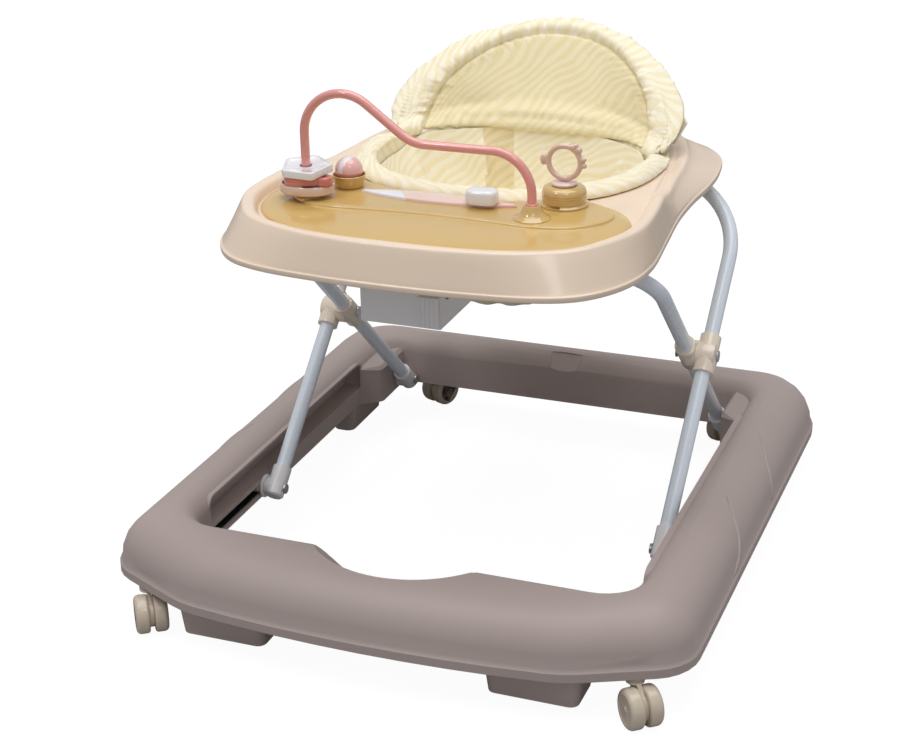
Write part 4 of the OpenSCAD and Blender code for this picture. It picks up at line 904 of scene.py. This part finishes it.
dome_steps = list(DOME_FOOT)
for rib in range(4):
    low = RIB_FIRST + rib * RIB_PITCH
    for inward, up_rib in ((0.0, 0.0), (RIB_DEPTH, 0.3), (RIB_DEPTH, 0.6), (0.0, 0.9)):
        dome_steps.append((DOME_RADIUS - inward, low + up_rib))
dome = turned("dome", DOME_AXIS, TOY_FOOT_Z, dome_steps + DOME_TOP)
bpy.ops.mesh.primitive_cube_add(size=1.0)
cut(dome, bpy.context.object, Matrix.Translation(NOTCH_PLACE) @ Matrix.Diagonal((*NOTCH_SIZE, 1.0)))
fitted(dome, gloss_mustard, "panel_mustard", "tray", "ribbed_dome")
pale_pink = moulded("pale_pink", (238, 208, 200), 0.2, 900.0, 0.000005, 0.8)
disc = turned("rattle_disc", DOME_AXIS, DISC_Z, DISC)
fitted(disc, pale_pink, "toy_pale_pink", "rattle", "dome_disc")
bpy.ops.mesh.primitive_torus_add(
    major_segments=72, minor_segments=20, major_radius=RATTLE_RADIUS, minor_radius=RATTLE_TUBE,
    location=RATTLE_MIDDLE, rotation=(pi / 2, 0, 0),
)
rattle = bpy.context.object
rattle.name = rattle.data.name = "rattle_loop"
nubs = []
for nub in NUBS:
    x, z, *half_size = (MM * size for size in nub)
    bpy.ops.mesh.primitive_uv_sphere_add(
        segments=24, ring_count=16, radius=1.0, scale=half_size,
        location=(RATTLE_MIDDLE[0] + x, RATTLE_MIDDLE[1], RATTLE_MIDDLE[2] + z),
    )
    nubs.append(bpy.context.object)
joined(rattle, nubs)
bpy.ops.object.transform_apply(location=True, rotation=True, scale=True)
finished_with(rattle, "REMESH", mode="VOXEL", voxel_size=0.0006)
finished_with(rattle, "SMOOTH", factor=0.6, iterations=6)
bpy.ops.object.shade_smooth()
fitted(rattle, blush, "toy_tan", "rattle", "ring_rattle")

# --- Seat rim ---
# A foam roll covered in printed cotton, clipped into the tray's hole and
# gathered along its inner seam. The print is wavy stripes in two creams.
MOUTH_HALF = [
    (0, -44), (30, -43), (57, -38), (82, -26), (104, -8), (122, 14), (136, 43), (143, 75),
    (144, 104), (138, 134), (122, 160), (98, 180), (70, 196), (37, 206), (0, 209),
]
RIM_STEPS = 200
RIM_SPREAD = 0.0245  # how far the roll would lie outside the hole at a share of -1
RIM_HEIGHT = 0.014
RIM_HEIGHT_BEHIND = 0.0068
RIM_BACK = 0.096  # y where the roll starts to drop under the backrest
RIM_DROP_LENGTH = 0.044
RIM_PROFILE = [
    # share of the way from the hole to the mouth (outside the hole below 0), share of the height
    (-0.30, 0.03), (-0.38, 0.16), (-0.36, 0.42), (-0.22, 0.70), (0.0, 0.90), (0.25, 1.0),
    (0.5, 0.99), (0.74, 0.86), (0.9, 0.60), (0.98, 0.25), (1.0, -0.2), (1.0, -0.8),
]
PUCKER_DEPTH = 0.0017
LUMP_DEPTH = 0.0018
STUFFING_PRESSURE = 4.0
STUFFING_FRAMES = 20
CREAM_LIGHT = (252, 245, 226)
CREAM_STRIPE = (246, 235, 200)
STRIPE_PITCH = 0.0105
STRIPE_DRIFT = 0.055


def swollen(piece, cap):
    """Blows a closed cover up like a filled cushion; no point moves further than cap(point)."""
    before = [vertex.co.copy() for vertex in piece.data.vertices]
    alone(piece)
    cloth = piece.modifiers.new("stuffing", "CLOTH")
    cloth.settings.quality = 4
    cloth.settings.mass = 0.2
    cloth.settings.use_pressure = True
    cloth.settings.uniform_pressure_force = STUFFING_PRESSURE
    cloth.settings.effector_weights.gravity = 0.0
    cloth.settings.tension_stiffness = 12.0
    cloth.settings.bending_stiffness = 0.3
    cloth.point_cache.frame_start = 1
    cloth.point_cache.frame_end = STUFFING_FRAMES
    for frame_number in range(1, STUFFING_FRAMES + 1):
        bpy.context.scene.frame_set(frame_number)
    bpy.ops.object.modifier_apply(modifier=cloth.name)
    for vertex, was in zip(piece.data.vertices, before):
        moved = vertex.co - was
        if moved.length > cap(was):
            vertex.co = was + moved.normalized() * cap(was)
    bpy.context.scene.frame_set(1)


def waves(x, y, z):
    return noise.noise(Vector((x, y, z)))


def wrinkled(piece, depth):
    """Moves each point of a piece along its normal by depth(point) in metres."""
    shifts = [(vertex.co.copy(), vertex.normal.copy()) for vertex in piece.data.vertices]
    for vertex, (point, normal) in zip(piece.data.vertices, shifts):
        vertex.co = point + normal * depth(point)


def printed_cotton(name, light, stripe, share, slant):
    """Plain-woven cotton with wavy stripes that swell, taper and fork. share, from -1 to 1, is
    where a stripe starts in its wave, so a lower one gives wider stripes; slant is in degrees."""
    cotton = Finish(
        name, Roughness=0.88, Sheen_Weight=0.18, Sheen_Roughness=0.4, Specular_IOR_Level=0.25
    )
    thread = cotton.node("UVMap", {"uv_map": "UVMap"}, {})
    drift = cotton.node("TexNoise", {}, {"Vector": thread, "Scale": 13.0, "Detail": 1.0}, "Color")
    sway = (STRIPE_DRIFT, STRIPE_DRIFT, 0.0)
    bent = cotton.node("VectorMath", {"operation": "MULTIPLY_ADD"}, {0: drift, 1: sway, 2: thread})
    turns = 2 * pi / STRIPE_PITCH
    across = (turns * cos(radians(slant)), turns * sin(radians(slant)), 0.0)
    phase = cotton.node("VectorMath", {"operation": "DOT_PRODUCT"}, {0: bent, 1: across}, "Value")
    width = cotton.grain(42.0, 1.0, at=thread)
    ink = cotton.ramp(share, share + 0.5, 0.0, 1.0, phase.math("SINE") + (width - 0.5) * 2.4)
    cloudy = cotton.grain(12.0, 2.0, at=thread)
    dyed = cotton.blend(ink, colour(*light), colour(*stripe))
    cotton.feed(Base_Color=cotton.blend(cloudy * 0.25, dyed, tinted(stripe, 0.96)))
    warp, weft = (
        cotton.node(
            "TexWave", {"bands_direction": way},
            {"Vector": thread, "Scale": 330.0, "Distortion": 0.6},
        )
        for way in ("X", "Y")
    )
    creases = cotton.grain(45.0, 3.0, 0.55, thread)
    cotton.relief((warp + weft) * 0.05 + creases, 0.0010)
    return cotton.material


def rim_top(y):
    """Height of the roll: full at the front and the sides, low where the backrest sits on it."""
    low = held((y - RIM_BACK) / RIM_DROP_LENGTH)
    return DECK_Z + RIM_HEIGHT * (1 - low) + RIM_HEIGHT_BEHIND * low


def roll_gathers(point):
    """Soft puckers across the roll, and slow lumps in its filling."""
    round_it = math.atan2(point.y - 0.1, point.x) * 0.16
    pucker = waves(round_it * 95, point.z * 20, 3.0)
    pucker += 0.5 * waves(round_it * 210, 0.0, 9.0)
    lumps = noise.noise(point * 26)
    height = held((point.z - DECK_Z + 0.004) / 0.012)
    return height * (pucker * PUCKER_DEPTH + lumps * LUMP_DEPTH)


rim_cotton = printed_cotton("rim_cotton", CREAM_LIGHT, CREAM_STRIPE, -0.15, 62.0)
hole_line = outline(HOLE_HALF, RIM_STEPS)
mouth_line = outline(MOUTH_HALF, RIM_STEPS)
clip_line = moved_out(hole_line, -0.0012)
rim_rings = [at_height(clip_line, DECK_Z - 0.0145), at_height(clip_line, DECK_Z + 0.0004)]
for share, rise in RIM_PROFILE:
    if share < 0:
        line = moved_out(hole_line, RIM_SPREAD * -share)
    else:
        line = between(hole_line, mouth_line, share)
    rim_rings.append(at_height(line, lambda y, rise=rise: DECK_Z + (rim_top(y) - DECK_Z) * rise))
rim_rings.append(at_height(mouth_line, DECK_Z - 0.0138))
rim_rings.append(at_height(moved_out(mouth_line, 0.003), DECK_Z - 0.0146))
seat_roll = lofted("seat_roll", rim_rings, True)
subdivided(seat_roll)
swollen(seat_roll, lambda p: 0.0035 if p.z > DECK_Z + 0.004 else 0.0004)
wrinkled(seat_roll, roll_gathers)
subdivided(seat_roll)
fitted(seat_roll, rim_cotton, "seat_fabric", "tray", "seat_rim")

# --- Seat bag ---
# Quilted cotton hung from the rim, sewn from panels with upright seams and one
# darker strip, drawn in to a flat bottom, with two leg holes in front.
BAG_HALF = [
    (0, -30), (24, -29), (46, -24), (66, -13), (82, 2), (96, 22), (106, 46), (112, 74), (112, 102),
    (108, 130), (98, 152), (80, 168), (58, 180), (30, 188), (0, 190),
]
BAG_LOW = DECK_Z - 0.148
BAG_MOUTH = DECK_Z - 0.011
BAG_MIDDLE = Vector((0.0, 0.078))
BAG_CLOTH = 0.0024
BAG_RISE_BEHIND = 0.0125
BAG_STATIONS = [
    # share of the height, share of the bag's outline
    (0.02, 0.30), (0.0, 0.36), (0.025, 0.50), (0.08, 0.62), (0.17, 0.745), (0.28, 0.84),
    (0.44, 0.935), (0.6, 1.0),
]
BAG_STRAIGHT = 0.6  # share of the height where the bag starts to widen to the roll
LEG_HOLE_RADIUS = 0.033
LEG_HOLE_PLACE = (0.052, -0.06, BAG_LOW + 0.042)
LEG_HOLE_DEPTH = 0.09
LEG_HOLE_SPLAY = 14
BAG_SEAMS = (-2.6, -2.2, -0.55, 0.15, 0.74, 1.85, 2.12, 2.75)  # angles round the bag
TUCK_DEPTH = 0.0035
TUCK_WIDTH = 0.03


def bag_top(y):
    """Height of the bag's mouth: just under the roll in front, up to the cushion's hem behind."""
    return BAG_MOUTH + BAG_RISE_BEHIND * eased((y - 0.110) / 0.05)


def bag_height(share):
    """Heights of the ring at a share of the way from the straight part up to the mouth."""
    return lambda y: (
        BAG_LOW
        + (BAG_MOUTH - BAG_LOW) * BAG_STRAIGHT * (1 - share)
        + (bag_top(y) - BAG_LOW) * share
        - 0.4 * (bag_top(y) - BAG_MOUTH) * share * (1 - share)
    )


def drawn_in(line, share):
    return [BAG_MIDDLE + (p - BAG_MIDDLE) * share for p in line]


def bag_folds(point):
    """Upright gathers that start at the rim seam and die away, and the slack of the panels."""
    round_it = math.atan2(point.y - BAG_MIDDLE.y, point.x)
    up = (point.z - BAG_LOW) / (BAG_MOUTH - BAG_LOW)
    gather = waves(round_it * 13, up * 1.5, 5.0)
    gather += 0.5 * waves(round_it * 30, up, 1.0)
    slack = waves(round_it * 3.2, up * 2.5, 8.0)
    seams = min(abs(round_it - at) for at in BAG_SEAMS)
    tuck = -TUCK_DEPTH * math.exp(-((seams / TUCK_WIDTH) ** 2))
    return held((1 - up) * 12) * (gather * 0.0012 * up + slack * 0.003 + tuck)


bag_line = outline(BAG_HALF, RIM_STEPS)
bag_mouth = moved_out(mouth_line, -0.0012)
bag_rings = []
for rise, share in BAG_STATIONS:
    height = BAG_LOW + 0.0015 + (BAG_MOUTH - BAG_LOW) * rise
    bag_rings.append(at_height(moved_out(drawn_in(bag_line, share), -0.0015), height))
for step in range(1, 9):
    line = between(bag_line, bag_mouth, step / 8)
    bag_rings.append(at_height(moved_out(line, -0.0006), bag_height(step / 8)))
seat_bag = lofted("quilted_bag", bag_rings, False, (True, False))
subdivided(seat_bag)
wrinkled(seat_bag, bag_folds)
finished_with(seat_bag, "SOLIDIFY", thickness=BAG_CLOTH, offset=-1.0)
for side in (-1, 1):
    bpy.ops.mesh.primitive_cylinder_add(vertices=48, radius=LEG_HOLE_RADIUS, depth=LEG_HOLE_DEPTH)
    across, along, high = LEG_HOLE_PLACE
    hole_place = (
        Matrix.Translation((side * across, along, high))
        @ Matrix.Rotation(radians(-LEG_HOLE_SPLAY * side), 4, "Z")
        @ Matrix.Rotation(radians(-90), 4, "X")
        @ Matrix.Translation((0, 0, LEG_HOLE_DEPTH / 2))
    )
    cut(seat_bag, bpy.context.object, hole_place)
shaded(50)
fitted(seat_bag, rim_cotton, "seat_fabric", "tray", "seat_bag")
strap_cotton = printed_cotton("strap_cotton", (240, 226, 190), (232, 214, 170), -0.2, 55.0)
seat_bag.data.materials.append(strap_cotton)
for face in seat_bag.data.polygons:
    if BAG_SEAMS[5] < math.atan2(face.center.y - BAG_MIDDLE.y, face.center.x) < BAG_SEAMS[6]:
        face.material_index = 1

# --- Backrest ---
# A foam arch in the same print, with a puffed border gathered round a flatter
# middle panel whose print is a little darker, a painted shade. It stands on the
# rear of the rim against its cream plastic board.
# Half of its foot and of its crest from the end to the middle, in millimetres.
BACKREST_FOOT = [
    (147, 134, 0), (140, 150, 0), (122, 172, 0), (92, 192, 0), (54, 204, 0), (0, 209, 0),
]
BACKREST_CREST = [
    (151, 150, 18), (150, 169, 37), (134, 199, 64), (102, 230, 87), (57, 262, 104), (0, 274, 111),
]
BACKREST_THICK = 0.026
BACKREST_STEPS = 96
BORDER_TOP = 0.016  # the border's width at the top and at the sides
BORDER_SIDE = 0.034
BORDER_PUFF = 0.0062
SEAM_DEPTH, SEAM_WIDTH = 0.0036, 0.0030
GATHER_DEPTH = 0.0030
PANEL_SLACK = 0.0014
HEM_FOLD_DEPTH = 0.0022
BACKREST_PROFILE = (
    # share of the height, share of the thickness from the front: hem, face, crest, back and foot
    [(-0.070, 0.30), (-0.088, 0.0), (-0.085, -0.26), (-0.050, -0.44), (0.0, -0.48), (0.05, -0.38)]
    + [(0.10, -0.20), (0.15, -0.06)]
    + [(step / 16, 0.0) for step in range(3, 15)]
    + [(0.955, 0.06), (0.99, 0.2), (1.0, 0.42), (0.99, 0.65), (0.955, 0.84)]
    + [(step / 10, 1.0) for step in range(9, -1, -1)]
    + [(0.0, 0.66), (0.0, 0.33)]
)


def open_curve(half, count, lift):
    """Even steps along a smooth symmetric curve from its right end to its left one."""
    whole = [Vector((x, y, z)) * MM + Vector((0, 0, lift if z == 0 else 0)) for x, y, z in half]
    whole += [Vector((-p.x, p.y, p.z)) for p in whole[-2::-1]]
    return evenly(whole[:1] + whole + whole[-1:], count, False)


def from_border_seam(point):
    """Distance from the crest, and how far that is past the border's seam: the border narrows
    towards the top."""
    edge = crest_points.find(point)[2]
    side = min(1.0, abs(point.x) / 0.14)
    return edge, edge - BORDER_TOP - (BORDER_SIDE - BORDER_TOP) * side**5


def backrest_sewing(point, facing):
    """Raises the border, sinks its seam, gathers it, and leaves slack folds above the foot."""
    edge, past = from_border_seam(point)
    if not facing:
        return 0.001 * noise.noise(point * 30)
    around = math.atan2(point.z - DECK_Z - 0.02, point.x)
    ripple = waves(around * 15, edge * 30, 2.0)
    ripple += 0.7 * waves(around * 34, edge * 20, 7.0)
    border = 0.0
    if past < 0:
        border = BORDER_PUFF * sin(pi * min(1.0, edge / (edge - past))) ** 0.6
    seam = -SEAM_DEPTH * math.exp(-((past / SEAM_WIDTH) ** 2))
    near_seam = max(0.0, 1 - abs(past + 0.006) / 0.022) * min(1.0, edge / 0.012)
    panel = PANEL_SLACK * noise.noise(point * 22) if past > 0 else 0.0
    hem = held(1 - (point.z - DECK_Z - 0.008) / 0.016)
    hem_folds = HEM_FOLD_DEPTH * hem * waves(point.x * 130, 0.0, 4.0)
    return border + seam + GATHER_DEPTH * ripple * near_seam + panel + hem_folds


board_plastic = moulded("board_plastic", (240, 231, 206), 0.45, 1200.0, 0.00003)
dress(board_plastic, "backrest_board")
foot = open_curve(BACKREST_FOOT, BACKREST_STEPS, 0.0082)
crest = open_curve(BACKREST_CREST, BACKREST_STEPS, 0.0)
backrest_rings = []
for i in range(BACKREST_STEPS):
    along = foot[min(i + 1, BACKREST_STEPS - 1)] - foot[max(i - 1, 0)]
    behind = Vector((along.y, -along.x, 0.0)).normalized()
    end = min(i, BACKREST_STEPS - 1 - i) / (BACKREST_STEPS - 1)
    full = 0.42 + 0.58 * min(1.0, end / 0.1) ** 0.7
    thick = BACKREST_THICK * full - 0.003
    ring = []
    for share, depth in BACKREST_PROFILE:
        point = foot[i].lerp(crest[i], share) + behind * (0.0015 + thick * depth)
        ring.append((point.x, point.y, point.z + DECK_Z))
    backrest_rings.append(ring)
backrest = lofted("backrest", backrest_rings, False)
subdivided(backrest)
swollen(backrest, lambda p: 0.006 if p.z > DECK_Z + 0.014 else 0.001)
crest_points = kdtree.KDTree(BACKREST_STEPS)
for i, point in enumerate(crest):
    crest_points.insert(point + Vector((0, 0, DECK_Z)), i)
crest_points.balance()
inside = Vector((0.0, 0.05, DECK_Z + 0.1))
subdivided(backrest)
moves = []
for vertex in backrest.data.vertices:
    facing = vertex.normal.dot(inside - vertex.co) > 0.0
    moves.append(vertex.co + vertex.normal * backrest_sewing(vertex.co, facing))
for vertex, place in zip(backrest.data.vertices, moves):
    vertex.co = place
fitted(backrest, rim_cotton, "seat_fabric", "tray", "backrest_cushion")
# The middle panel's facing side takes a darker copy of the print: painted shade of its recess.
shaded_panel_cotton = printed_cotton("shaded_panel_cotton", (243, 232, 198), (237, 223, 180), -0.2, 55.0)
backrest.data.materials.append(shaded_panel_cotton)
for face in backrest.data.polygons:
    if from_border_seam(face.center)[1] > 0.0 and face.normal.dot(inside - face.center) > 0.0:
        face.material_index = 1
